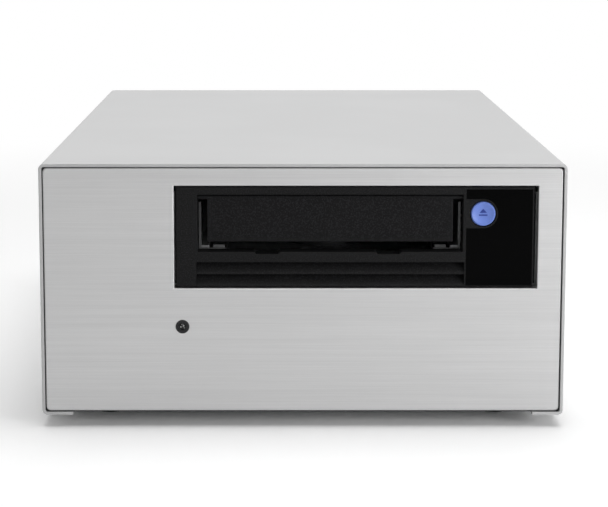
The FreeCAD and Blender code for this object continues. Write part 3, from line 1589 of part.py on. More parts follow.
def tube(radius, points):
    """A round lead along straight runs joined by tangent arcs as large as the runs allow."""
    spots = [FreeCAD.Vector(*(float(dim(length)) for length in point)) for point in points]
    edges = []
    start = spots[0]
    for before, corner, after in zip(spots, spots[1:], spots[2:]):
        back, ahead = before - corner, after - corner
        setback = 0.45 * min(back.Length, ahead.Length)
        back.normalize()
        ahead.normalize()
        turn = math.pi - back.getAngle(ahead)
        bend = setback / math.tan(turn / 2)
        first, last = corner + back * setback, corner + ahead * setback
        inward = (back + ahead).normalize()
        middle = corner + inward * (bend / math.cos(turn / 2) - bend)
        edges.append(Part.LineSegment(start, first).toShape())
        edges.append(Part.Arc(first, middle, last).toShape())
        print(f"lead of radius {radius:.1f}: bend of {bend:.1f}")
        start = last
    edges.append(Part.LineSegment(start, spots[-1]).toShape())
    path = Part.Wire(edges)
    heading = spots[1] - spots[0]
    end = Part.Wire(Part.makeCircle(radius, spots[0], heading))
    lead = path.makePipeShell([end], True, True)
    expected = math.pi * radius ** 2 * path.Length
    if abs(lead.Volume / expected - 1) > 0.02:
        raise ValueError(f"lead has volume {lead.Volume:.1f}, not {expected:.1f}")
    return lead


def shifted(points, x):
    """The same route moved sideways."""
    return [(px + x, py, pz) for px, py, pz in points]


def wiring():
    """Leads that the case holds from end to end."""
    socket_y, socket_z = drive_rear + S.connector_out, drive_low + 4.4
    sockets = supply_sockets()

    x, y, wide, deep, tall = sockets["output"]
    x, y, z = x + wide / 2, y + deep / 2, supply_top + tall
    (power_low, power_width), (data_low, data_width) = connector_places()
    power_x, data_x = power_low + power_width / 2, data_low + data_width / 2
    route = [(x, y, z), (x, y, z + 12), (x + 1, y - 4, z + 24), (x + 6, y - 14, z + 34),
             (power_x, socket_y + 14, socket_z), (power_x, socket_y, socket_z)]
    wires = [tube(0.75, shifted(route, step)) for step in (-3.3, -1.1, 1.1, 3.3)]
    keep(solid(Part.makeCompound(wires)), "dc_harness")

    port_end = rear_back - S.port_depth - S.board - S.port_socket_depth
    route = [(data_x, socket_y, socket_z), (data_x, socket_y + 9.5, socket_z),
             (drive_x - 1.6, socket_y + 23.5, socket_z + 2.3),
             (drive_x - 19.6, socket_y + 37.5, socket_z + 4.8),
             (drive_x - 43.6, socket_y + 48.5, socket_z + 7.2),
             (port_x + 28, port_end - 26, port_z - 0.4), (port_x + 8, port_end - 20, port_z),
             (port_x, port_end - 9.5, port_z), (port_x, port_end, port_z)]
    keep(solid(tube(2.4, route)), "sas_cable")

    tag_y, tag_z = rear_back - S.inlet_depth - S.tag_length, inlet_z
    switch_y = rear_back - S.switch_depth - S.tag_length
    x, y, wide, deep, tall = sockets["mains"]
    header_x, header_y, header_z = x + wide / 2, y + deep, supply_top + tall * 0.58
    live, neutral, earth = [inlet_x + x for x, height in inlet_pin_places()]
    tag_left, tag_right = switch_x - S.tag_spread / 2, switch_x + S.tag_spread / 2
    to_switch = [(live, tag_y, tag_z - 2), (live, tag_y - 6, tag_z - 2),
                 (live - 7, tag_y - 12, tag_z - 2.6), (switch_x + 13, switch_y - 18, tag_z - 1.4),
                 (tag_right, switch_y - 10, tag_z), (tag_right, switch_y, tag_z)]
    switched = [(tag_left, switch_y, tag_z), (tag_left, switch_y - 9, tag_z),
                (switch_x + 1, switch_y - 18, tag_z - 3),
                (switch_x + 12, switch_y - 23, tag_z - 5),
                (header_x - 15, header_y + 9.4, header_z - 0.5),
                (header_x - 5, header_y + 6, header_z), (header_x - 5, header_y, header_z)]
    back = [(neutral, tag_y, tag_z - 2), (neutral, tag_y - 7, tag_z - 2),
            (neutral - 0.4, tag_y - 14, tag_z - 4), (header_x + 5, header_y + 6, header_z),
            (header_x + 5, header_y, header_z)]
    ground = [(earth, tag_y, tag_z + 2), (earth, tag_y - 7, tag_z + 2),
              (earth + 0.8, tag_y - 14, tag_z - 2), (header_x, header_y + 6, header_z),
              (header_x, header_y, header_z)]
    leads = [tube(1.1, route) for route in (to_switch, switched, back, ground)]
    keep(solid(Part.makeCompound(leads)), "ac_leads")

    fan_left = drive_x - S.fan_size / 2
    fan_front = rear_front - S.fan_depth
    fan_low = fan_z - S.fan_size / 2
    x, y, wide, deep, tall = sockets["fan"]
    pin_x, pin_y, pin_z = x + wide / 2, y + deep / 2, supply_top + tall
    route = [(fan_left + 4.4, fan_front, fan_low + 6), (fan_left + 4.4, fan_front - 6, fan_low + 6),
             (fan_left + 1.4, fan_front - 13, fan_low), (pin_x + 2, pin_y + 6, pin_z + 14),
             (pin_x, pin_y, pin_z + 7), (pin_x, pin_y, pin_z)]
    keep(solid(tube(1.1, route)), "fan_lead")

    lamp_y = panel_face + S.holder_length + 2
    x, y, wide, deep, tall = sockets["lamp"]
    route = [(lamp_x, lamp_y, lamp_z), (lamp_x, lamp_y + 8.5, lamp_z),
             (lamp_x + 2.1, lamp_y + 20.5, lamp_z - 5.3),
             (lamp_x + 4.6, lamp_y + 36.5, lamp_z - 13.3),
             (lamp_x + 6.6, lamp_y + 56.5, tray_floor + 13.6),
             (lamp_x + 8.6, lamp_y + 80.5, tray_floor + 8.1),
             (x - 5, y - 56, tray_floor + 5.2), (x - 3, y - 32, tray_floor + 5),
             (x + wide / 2, y - 12, supply_top + tall / 2),
             (x + wide / 2, y, supply_top + tall / 2)]
    keep(solid(tube(1.1, route)), "led_lead")


# ---------------------------------------------------------------- assembly and output

def check_and_write():
    """Check every object and every sub-part, then write one STEP file for each sub-part."""
    doc.recompute()
    for thing in doc.Objects:
        if {"Invalid", "Error"} & set(thing.State):
            raise RuntimeError(f"{thing.Label} failed: {thing.State}")
    for thing in NODES:
        shape = thing.Shape
        if shape.isNull() or not shape.isValid() or not shape.Solids:
            raise RuntimeError(f"{thing.Label} has no valid solid")
    os.makedirs("parts", exist_ok=True)
    for thing in NODES:
        thing.Shape.exportStep(f"parts/{thing.Label}.step")
    print(f"{len(NODES)} sub-parts written")


cover_sleeve()
base_tray()
enclosure_screws()
rubber_feet()
front_panel()
front_bulkhead()
panel_screws()
rear_panel()
rear_screws()
status_lamp()
drive_brackets()
drive_screws()
drive_base()
drive_lid()
main_board()
drive_bezel()
status_window()
cartridge_door()
eject_button()
operator_board()
loader_tray()
loader_drive()
reels()
tape_path()
fan()
mains_inlet()
rocker_switch()
interface_ports()
power_supply()
wiring()
check_and_write()
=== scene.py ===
"""Looks of the desktop data tape drive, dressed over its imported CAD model.

Every length is in metres in the row frame: the origin lies on the table under the middle of
the cover, +X to the right of someone who faces the front panel, +Y to the rear, +Z up.
"""

from __future__ import annotations

import json
import logging
import math
from dataclasses import dataclass
from enum import Enum
from typing import Iterable, Mapping, Sequence, Union

import bmesh
import bpy
from mathutils import Matrix, Vector


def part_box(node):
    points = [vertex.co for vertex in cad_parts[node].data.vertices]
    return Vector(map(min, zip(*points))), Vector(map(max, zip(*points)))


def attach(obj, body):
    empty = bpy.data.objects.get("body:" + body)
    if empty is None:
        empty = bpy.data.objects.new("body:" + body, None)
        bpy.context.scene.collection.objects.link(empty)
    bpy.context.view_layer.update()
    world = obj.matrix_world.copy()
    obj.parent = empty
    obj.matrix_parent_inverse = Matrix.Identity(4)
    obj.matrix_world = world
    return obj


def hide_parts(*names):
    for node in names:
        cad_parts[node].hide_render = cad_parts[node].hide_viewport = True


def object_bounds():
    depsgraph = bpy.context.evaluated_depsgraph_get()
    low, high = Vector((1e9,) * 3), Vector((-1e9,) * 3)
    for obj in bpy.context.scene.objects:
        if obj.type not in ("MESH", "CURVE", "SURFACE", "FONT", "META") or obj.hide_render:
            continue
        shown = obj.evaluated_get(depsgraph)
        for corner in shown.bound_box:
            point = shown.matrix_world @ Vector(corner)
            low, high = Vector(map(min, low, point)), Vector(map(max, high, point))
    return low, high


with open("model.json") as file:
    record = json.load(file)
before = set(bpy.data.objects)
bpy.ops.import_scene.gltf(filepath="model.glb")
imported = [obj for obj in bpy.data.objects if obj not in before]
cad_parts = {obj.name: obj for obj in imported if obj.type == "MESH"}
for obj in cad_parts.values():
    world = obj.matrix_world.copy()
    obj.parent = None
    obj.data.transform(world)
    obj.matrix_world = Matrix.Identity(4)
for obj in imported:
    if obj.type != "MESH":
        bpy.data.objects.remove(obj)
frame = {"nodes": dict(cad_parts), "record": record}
CAD_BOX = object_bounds()

LOG = logging.getLogger("tape_drive")
MM = 0.001

Colour = tuple[float, float, float]
Outline = Sequence[tuple[float, float]]


# ------------------------------------------------------------------ shader nodes

class Signal:
    """A number that a node gives out, with the sums that the finishes need."""

    def __init__(self, sheet: "NodeSheet", socket: bpy.types.NodeSocket) -> None:
        """Wraps one output socket of the sheet's node tree."""
        self.sheet = sheet
        self.socket = socket

    def _sum(self, operation: str, *terms: "Number") -> "Signal":
        """Adds one Math node.

        Args:
            operation: The Math node's operation.
            terms: Its inputs in order, as signals or plain numbers.

        Returns:
            The node's result.
        """
        node = self.sheet.add("ShaderNodeMath", {"operation": operation}, dict(enumerate(terms)))
        return Signal(self.sheet, node.outputs[0])

    def __add__(self, other: "Number") -> "Signal":
        """Self plus other."""
        return self._sum("ADD", self, other)

    def __radd__(self, other: "Number") -> "Signal":
        """Other plus self."""
        return self._sum("ADD", other, self)

    def __sub__(self, other: "Number") -> "Signal":
        """Self minus other."""
        return self._sum("SUBTRACT", self, other)

    def __rsub__(self, other: "Number") -> "Signal":
        """Other minus self."""
        return self._sum("SUBTRACT", other, self)

    def __mul__(self, other: "Number") -> "Signal":
        """Self times other."""
        return self._sum("MULTIPLY", self, other)

    def __rmul__(self, other: "Number") -> "Signal":
        """Other times self."""
        return self._sum("MULTIPLY", other, self)

    def ramp(self, low: float, high: float) -> "Signal":
        """Spreads a range of the signal over 0 to 1.

        Args:
            low: The value that becomes 0.
            high: The value that becomes 1.

        Returns:
            The spread signal, clamped, with soft ends.
        """
        node = self.sheet.add("ShaderNodeMapRange", {"interpolation_type": "SMOOTHSTEP"},
                              {"Value": self, "From Min": low, "From Max": high})
        return Signal(self.sheet, node.outputs["Result"])


Number = Union[Signal, float]


class NodeSheet:
    """The node tree of one material or of the world."""

    def __init__(self, owner: Union[bpy.types.Material, bpy.types.World]) -> None:
        """Empties the owner's node tree.

        Args:
            owner: The material or world that the nodes belong to.
        """
        owner.use_nodes = True
        self.tree = owner.node_tree
        self.tree.nodes.clear()

    def add(self, kind: str, settings: Mapping[str, object] | None = None,
            inputs: Mapping[Union[str, int], object] | None = None) -> bpy.types.Node:
        """Adds one node: its settings first, then its sockets.

        Args:
            kind: The node's type, such as ShaderNodeBump.
            settings: Properties of the node by name.
            inputs: A value, socket or signal for each input, by name, identifier or number.

        Returns:
            The node.
        """
        node = self.tree.nodes.new(kind)
        for name, value in (settings or {}).items():
            setattr(node, name, value)
        for key, value in (inputs or {}).items():
            socket = node.inputs[key] if isinstance(key, int) else self._input(node, key)
            if isinstance(value, Signal):
                value = value.socket
            if isinstance(value, bpy.types.NodeSocket):
                self.tree.links.new(value, socket)
            else:
                socket.default_value = value
        return node

    @staticmethod
    def _input(node: bpy.types.Node, key: str) -> bpy.types.NodeSocket:
        """The input with that identifier, or else with that name."""
        return next(s for s in node.inputs if key in (s.identifier, s.name))

    def signal(self, node: bpy.types.Node, output: Union[str, int] = 0) -> Signal:
        """One output of a node as a signal."""
        return Signal(self, node.outputs[output])

    def place(self) -> bpy.types.NodeSocket:
        """The point on the piece in the row frame, which rides with its body."""
        return self.add("ShaderNodeTexCoord").outputs["Object"]

    def scaled(self, cell: Sequence[float]) -> bpy.types.NodeSocket:
        """The point divided by a cell size.

        Args:
            cell: Lengths in metres that become 1 along X, Y and Z.

        Returns:
            A vector socket for a texture of scale 1.
        """
        return self.add("ShaderNodeVectorMath", {"operation": "DIVIDE"},
                        {0: self.place(), 1: tuple(cell)}).outputs[0]

    def noise(self, cell: Union[float, Sequence[float]], detail: float = 3.0,
              harsh: float = 0.55) -> Signal:
        """Cloudy noise.

        Args:
            cell: Size of a cloud in metres, the same or one for each axis.
            detail: How many octaves it has.
            harsh: How much of each finer octave it keeps.

        Returns:
            The noise, about 0.5 on average.
        """
        sizes = (cell,) * 3 if isinstance(cell, float) else cell
        node = self.add("ShaderNodeTexNoise", {}, {
            "Vector": self.scaled(sizes), "Scale": 1.0, "Detail": detail, "Roughness": harsh})
        return self.signal(node, "Fac")

    def cells(self, cell: float, feature: str = "F1", output: str = "Distance") -> Signal:
        """Cell pattern.

        Args:
            cell: Size of a cell in metres.
            feature: The Voronoi feature.
            output: Distance, or Color for a value of its own in each cell.

        Returns:
            The pattern.
        """
        node = self.add("ShaderNodeTexVoronoi", {"feature": feature},
                        {"Vector": self.scaled((cell,) * 3), "Scale": 1.0})
        return self.signal(node, output)

    def along(self, axis: str) -> Signal:
        """The place on one axis, X, Y or Z, in metres."""
        return self.signal(self.add("ShaderNodeSeparateXYZ", {}, {0: self.place()}), axis)

    def blend(self, mask: Number, first: object, second: object) -> bpy.types.NodeSocket:
        """Mixes two colours.

        Args:
            mask: 0 gives the first, 1 the second.
            first: A colour or a colour socket.
            second: A colour or a colour socket.

        Returns:
            The mixed colour's socket.
        """
        node = self.add("ShaderNodeMix", {"data_type": "RGBA"}, {
            "Factor_Float": mask, "A_Color": rgba(first), "B_Color": rgba(second)})
        return next(s for s in node.outputs if s.identifier == "Result_Color")

    def edge_wear_and_highlight(self, radius: float) -> Signal:
        """A mask that is 0 on flat faces and rises along edges; the finishes lighten edges with it,
        partly as wear and partly as a painted highlight.

        Args:
            radius: How far the mask reaches from an edge, in metres.

        Returns:
            The mask.
        """
        soft = self.add("ShaderNodeBevel", {"samples": 4}, {"Radius": radius}).outputs[0]
        flat = self.add("ShaderNodeNewGeometry").outputs["Normal"]
        dot = self.add("ShaderNodeVectorMath", {"operation": "DOT_PRODUCT"}, {0: soft, 1: flat})
        return (1.0 - self.signal(dot, "Value")).ramp(0.004, 0.12)

    def relief(self, height: Signal, depth: float, strength: float = 1.0,
               rounding: float = 0.0) -> bpy.types.NodeSocket:
        """A bumped normal.

        Args:
            height: The height, 0 to 1.
            depth: The height that 1 stands for, in metres.
            strength: How much of it shows.
            rounding: Radius that edges seem to have, in metres.

        Returns:
            The normal's socket.
        """
        inputs = {"Height": height, "Distance": depth, "Strength": strength}
        if rounding:
            inputs["Normal"] = self.add("ShaderNodeBevel", {"samples": 4},
                                        {"Radius": rounding}).outputs[0]
        return self.add("ShaderNodeBump", {}, inputs).outputs[0]

    def surface(self, shader: bpy.types.NodeSocket) -> None:
        """Sends a shader to the material's surface."""
        self.add("ShaderNodeOutputMaterial", {}, {"Surface": shader})


def rgba(colour: object) -> object:
    """A plain colour with its alpha, or the socket as it is."""
    return (*colour, 1.0) if isinstance(colour, tuple) else colour


def shade(colour: Colour, factor: float) -> Colour:
    """A colour made lighter or darker."""
    return tuple(min(c * factor, 1.0) for c in colour)


# ------------------------------------------------------------------ finishes

class Grain(Enum):
    """The way that brushing runs over a metal face."""

    ALONG_X = (40.0, 0.30, 0.30)
    ALONG_Y = (0.30, 40.0, 0.30)

    def cell(self, factor: float = 1.0) -> tuple[float, float, float]:
        """Size of a streak in metres, times a factor."""
        return tuple(length * MM * factor for length in self.value)


@dataclass(frozen=True)
class Finish:
    """A finish with its colour and gloss; each kind of finish adds its own surface."""

    slot: str
    colour: Colour
    roughness: float

    def material(self) -> bpy.types.Material:
        """Makes the material."""
        made = bpy.data.materials.new(self.slot)
        sheet = NodeSheet(made)
        shader = self.shader(sheet)
        sheet.surface(shader.outputs[0])
        return made

    def shader(self, sheet: NodeSheet) -> bpy.types.Node:
        """Makes the shader node; each kind of finish has its own."""
        raise NotImplementedError


@dataclass(frozen=True)
class PowderCoat(Finish):
    """Sprayed and baked paint with a fine orange peel."""

    peel: float = 0.8 * MM

    def shader(self, sheet: NodeSheet) -> bpy.types.Node:
        """Paint with clouds, speckle, and edges a little lighter, partly as wear and partly as a
        painted highlight.

        Args:
            sheet: The node tree that takes the nodes.

        Returns:
            The shader node.
        """
        cloud = sheet.noise(0.07, 2.0)
        speckle = sheet.noise(0.22 * MM, 1.0)
        worn_and_highlit_edge = sheet.edge_wear_and_highlight(0.5 * MM)
        tone = sheet.blend(cloud.ramp(0.3, 0.7), shade(self.colour, 0.975),
                           shade(self.colour, 1.02))
        tone = sheet.blend(speckle.ramp(0.55, 0.8) * 0.35, tone, shade(self.colour, 1.12))
        # Lighter edges: partly wear, partly a painted highlight.
        tone = sheet.blend(worn_and_highlit_edge * 0.5, tone, shade(self.colour, 1.15))
        skin = sheet.noise(self.peel, 2.0) * 0.7 + speckle * 0.3
        return sheet.add("ShaderNodeBsdfPrincipled", {}, {
            "Base Color": tone, "Roughness": self.roughness + cloud * 0.10,
            "Metallic": 0.25, "Normal": sheet.relief(skin, 0.05 * MM, 0.35, 0.35 * MM)})


@dataclass(frozen=True)
class BrushedMetal(Finish):
    """Metal brushed one way, with fine streaks, faint bands and a soft cloud."""

    grain: Grain = Grain.ALONG_X
    metallic: float = 1.0
    contrast: float = 0.07

    def shader(self, sheet: NodeSheet) -> bpy.types.Node:
        """Streaks in colour, gloss and relief.

        Args:
            sheet: The node tree that takes the nodes.

        Returns:
            The shader node.
        """
        fine = sheet.noise(self.grain.cell(), 4.0, 0.7)
        band = sheet.noise(self.grain.cell(5.0), 2.0, 0.5)
        cloud = sheet.noise(0.12, 1.0)
        streak = fine * 0.65 + band * 0.35
        tone = sheet.blend(streak.ramp(0.3, 0.7), shade(self.colour, 1.0 - self.contrast),
                           shade(self.colour, 1.0 + self.contrast))
        # Edges made lighter: partly wear, partly a painted highlight of the light they catch.
        tone = sheet.blend(sheet.edge_wear_and_highlight(0.3 * MM) * 0.3, tone, shade(self.colour, 1.12))
        return sheet.add("ShaderNodeBsdfPrincipled", {}, {
            "Base Color": tone, "Metallic": self.metallic,
            "Roughness": self.roughness + streak * 0.14 + cloud * 0.05,
            "Normal": sheet.relief(fine, 0.012 * MM, 0.5, 0.25 * MM)})


@dataclass(frozen=True)
class PlatedSteel(Finish):
    """Zinc-plated sheet: cloudy crystals, thin scratches and darker cloudy patches."""

    crystal: float = 5.0 * MM

    def shader(self, sheet: NodeSheet) -> bpy.types.Node:
        """Crystals of two sizes with scratches over them.

        Args:
            sheet: The node tree that takes the nodes.

        Returns:
            The shader node.
        """
        patch = sheet.cells(self.crystal, output="Color")
        cloud = sheet.noise(0.03, 4.0)
        scratch = sheet.noise((9.0 * MM, 0.12 * MM, 0.12 * MM), 3.0).ramp(0.62, 0.72)
        tone = sheet.blend(patch.ramp(0.2, 0.8), shade(self.colour, 0.9), shade(self.colour, 1.08))
        tone = sheet.blend(cloud.ramp(0.3, 0.75) * 0.5, tone, shade(self.colour, 0.82))
        tone = sheet.blend(scratch * 0.35, tone, shade(self.colour, 1.35))
        return sheet.add("ShaderNodeBsdfPrincipled", {}, {
            "Base Color": tone, "Metallic": 0.95,
            "Roughness": self.roughness + patch * 0.08 + cloud * 0.1 - scratch * 0.1,
            "Normal": sheet.relief(cloud * 0.8 + scratch * 0.2, 0.05 * MM, 0.3, 0.25 * MM)})


@dataclass(frozen=True)
class CastMetal(Finish):
    """Die-cast metal with a sandy skin and small pits."""

    def shader(self, sheet: NodeSheet) -> bpy.types.Node:
        """Sandy relief with pits and flow marks.

        Args:
            sheet: The node tree that takes the nodes.

        Returns:
            The shader node.
        """
        sand = sheet.noise(0.35 * MM, 3.0)
        pit = sheet.cells(1.3 * MM).ramp(0.05, 0.2)
        flow = sheet.noise((0.05, 0.012, 0.02), 3.0)
        tone = sheet.blend(flow.ramp(0.3, 0.7), shade(self.colour, 0.88), shade(self.colour, 1.08))
        # Edges made lighter: partly wear, partly a painted highlight.
        tone = sheet.blend(sheet.edge_wear_and_highlight(0.5 * MM) * 0.6, tone, shade(self.colour, 1.4))
        return sheet.add("ShaderNodeBsdfPrincipled", {}, {
            "Base Color": tone, "Metallic": 0.9, "Roughness": self.roughness + sand * 0.2,
            "Normal": sheet.relief(sand * 0.7 + pit * 0.3, 0.12 * MM, 0.45, 0.4 * MM)})


@dataclass(frozen=True)
class TurnedMetal(Finish):
    """Small turned or drawn metal: pins, screws, wire and motor cans."""

    tint: float = 0.88

    def shader(self, sheet: NodeSheet) -> bpy.types.Node:
        """Fine mottled metal with brighter rubbed edges.

        Args:
            sheet: The node tree that takes the nodes.

        Returns:
            Fine mottled metal with brighter edges, partly as wear and partly as a painted
            highlight.
        """
        fine = sheet.noise(0.25 * MM, 3.0, 0.65)
        stain = sheet.noise(4.0 * MM, 3.0)
        tone = sheet.blend(stain.ramp(0.35, 0.7), self.colour, shade(self.colour, self.tint))
        # Brighter edges: partly wear, partly a painted highlight.
        tone = sheet.blend(sheet.edge_wear_and_highlight(0.2 * MM) * 0.6, tone, shade(self.colour, 1.3))
        return sheet.add("ShaderNodeBsdfPrincipled", {}, {
            "Base Color": tone, "Metallic": 1.0, "Roughness": self.roughness + fine * 0.15,
            "Normal": sheet.relief(fine, 0.01 * MM, 0.5, 0.12 * MM)})


@dataclass(frozen=True)
class MouldedPlastic(Finish):
    """Moulded plastic with a spark-eroded or polished skin."""

    grain: float = 0.22 * MM
    depth: float = 0.03 * MM
    specular: float = 0.5
    coat: float = 0.0
    # How much lighter the edges are made: partly wear, partly a painted sheen.
    lift: float = 1.5
    dust: float = 0.15
    rounding: float = 0.15 * MM
    speckle: float = 0.0

    def shader(self, sheet: NodeSheet) -> bpy.types.Node:
        """Skin texture, mould clouds, a little dust and rubbed edges.

        Args:
            sheet: The node tree that takes the nodes.

        Returns:
            Skin texture, mould clouds, a little dust, and lighter edges that are partly wear and
            partly a painted sheen.
        """
        skin = sheet.noise(self.grain, 2.0, 0.6)
        cloud = sheet.noise(0.02, 3.0)
        lint = sheet.noise(1.4 * MM, 5.0, 0.75).ramp(0.6, 0.8)
        tone = sheet.blend(cloud.ramp(0.3, 0.7), shade(self.colour, 0.92), shade(self.colour, 1.08))
        tone = sheet.blend(skin.ramp(0.45, 0.75) * 0.35, tone, shade(self.colour, 1.25))
        fleck = sheet.noise(0.50 * MM, 1.0, 0.5).ramp(0.46, 0.66)
        tone = sheet.blend(fleck * self.speckle, tone, shade(self.colour, 3.4))
        tone = sheet.blend(lint * self.dust, tone, shade(self.colour, 1.9))
        # Lighter edges: partly wear, partly a painted sheen.
        tone = sheet.blend(sheet.edge_wear_and_highlight(0.3 * MM) * 0.45, tone, shade(self.colour, self.lift))
        return sheet.add("ShaderNodeBsdfPrincipled", {}, {
            "Base Color": tone, "Specular IOR Level": self.specular,
            "Roughness": self.roughness + cloud * 0.05 + lint * (self.dust * 0.3),
            "Coat Weight": self.coat, "Coat Roughness": 0.08,
            "Normal": sheet.relief(skin, self.depth, 0.6, self.rounding)})


@dataclass(frozen=True)
class SoftRubber(Finish):
    """Rubber or a flexible jacket with a matt bloom."""

    rib: float = 0.5 * MM

    def shader(self, sheet: NodeSheet) -> bpy.types.Node:
        """Matt skin with bloom and a faint extrusion grain.

        Args:
            sheet: The node tree that takes the nodes.

        Returns:
            The shader node.
        """
        skin = sheet.noise(self.rib, 3.0)
        bloom = sheet.noise(6.0 * MM, 4.0)
        tone = sheet.blend(bloom.ramp(0.45, 0.8) * 0.6, self.colour, shade(self.colour, 2.2))
        return sheet.add("ShaderNodeBsdfPrincipled", {}, {
            "Base Color": tone, "Specular IOR Level": 0.35, "Sheen Weight": 0.15,
            "Roughness": self.roughness + bloom * 0.15,
            "Normal": sheet.relief(skin, 0.06 * MM, 0.5, 0.2 * MM)})


@dataclass(frozen=True)
class ClearPlastic(Finish):
    """Clear or smoked moulded plastic."""

    clearness: float = 1.0

    def shader(self, sheet: NodeSheet) -> bpy.types.Node:
        """Glassy body with moulding ripples and faint lint.

        Args:
            sheet: The node tree that takes the nodes.

        Returns:
            The shader node.
        """
        ripple = sheet.noise(2.5 * MM, 2.0)
        lint = sheet.noise(0.5 * MM, 4.0).ramp(0.62, 0.8)
        tone = sheet.blend(lint * 0.08, self.colour, shade(self.colour, 0.6))
        return sheet.add("ShaderNodeBsdfPrincipled", {}, {
            "Base Color": tone, "Roughness": self.roughness + lint * 0.06,
            "Transmission Weight": self.clearness, "IOR": 1.49,
            "Normal": sheet.relief(ripple, 0.02 * MM, 0.4)})


@dataclass(frozen=True)
class GlazedCeramic(Finish):
    """Fine ground ceramic or hard ferrite with a polished skin."""

    def shader(self, sheet: NodeSheet) -> bpy.types.Node:
        """Dense body with tiny darker grains under a light polish.

        Args:
            sheet: The node tree that takes the nodes.

        Returns:
            The shader node.
        """
        grain = sheet.cells(0.35 * MM).ramp(0.1, 0.5)
        cloud = sheet.noise(0.008, 3.0)
        tone = sheet.blend(grain, shade(self.colour, 0.82), self.colour)
        tone = sheet.blend(cloud.ramp(0.4, 0.8) * 0.4, tone, shade(self.colour, 1.2))
        return sheet.add("ShaderNodeBsdfPrincipled", {}, {
            "Base Color": tone, "Roughness": self.roughness + cloud * 0.12, "Coat Weight": 0.3,
            "Coat Roughness": 0.15, "Normal": sheet.relief(grain, 0.01 * MM, 0.4, 0.15 * MM)})


@dataclass(frozen=True)
class SolderMask(Finish):
    """Printed circuit board: solder mask over copper tracks, with tinned pads."""

    track: float = 1.6 * MM

    def shader(self, sheet: NodeSheet) -> bpy.types.Node:
        """Tracks as thin brick joints, pads as the middles of small cells.

        Args:
            sheet: The node tree that takes the nodes.

        Returns:
            The shader node.
        """
        flow = sheet.scaled((self.track * 2,) * 3)
        tracks = sheet.add("ShaderNodeTexBrick", {"offset": 0.35}, {
            "Vector": flow, "Scale": 1.0, "Mortar Size": 0.07, "Mortar Smooth": 0.1,
            "Brick Width": 2.6, "Row Height": 0.5, "Color1": (0, 0, 0, 1), "Color2": (0, 0, 0, 1),
            "Mortar": (1, 1, 1, 1)})
        line = sheet.signal(tracks, "Color")
        pad = 1.0 - sheet.cells(self.track * 2.2).ramp(0.10, 0.13)
        weave = sheet.noise(0.3 * MM, 1.0)
        tone = sheet.blend(line * 0.8, self.colour, shade(self.colour, 2.1))
        tone = sheet.blend(weave.ramp(0.3, 0.8) * 0.2, tone, shade(self.colour, 0.6))
        tone = sheet.blend(pad, tone, (0.62, 0.60, 0.55))
        return sheet.add("ShaderNodeBsdfPrincipled", {}, {
            "Base Color": tone, "Metallic": pad * 0.9, "Roughness": self.roughness + weave * 0.1,
            "Normal": sheet.relief(line * 0.6 + pad * 0.4, 0.04 * MM, 0.6, 0.1 * MM)})


@dataclass(frozen=True)
class PrintedSleeve(Finish):
    """Shrink sleeve of a capacitor with a pale stripe down one side."""

    stripe: Colour = (0.62, 0.64, 0.68)
    pitch: float = 18.0 * MM

    def shader(self, sheet: NodeSheet) -> bpy.types.Node:
        """A stripe that repeats with the capacitors' spacing, over wrinkled film.

        Args:
            sheet: The node tree that takes the nodes.

        Returns:
            The shader node.
        """
        wave = sheet.add("ShaderNodeTexWave", {"wave_type": "BANDS", "bands_direction": "X"}, {
            "Vector": sheet.scaled((self.pitch,) * 3), "Scale": 0.32})
        stripe = sheet.signal(wave, "Fac").ramp(0.93, 0.97)
        wrinkle = sheet.noise((1.2 * MM, 1.2 * MM, 8.0 * MM), 3.0)
        tone = sheet.blend(stripe, self.colour, self.stripe)
        tone = sheet.blend(wrinkle.ramp(0.4, 0.8) * 0.3, tone, shade(self.colour, 1.6))
        return sheet.add("ShaderNodeBsdfPrincipled", {}, {
            "Base Color": tone, "Roughness": self.roughness + wrinkle * 0.1,
            "Normal": sheet.relief(wrinkle, 0.05 * MM, 0.5, 0.3 * MM)})


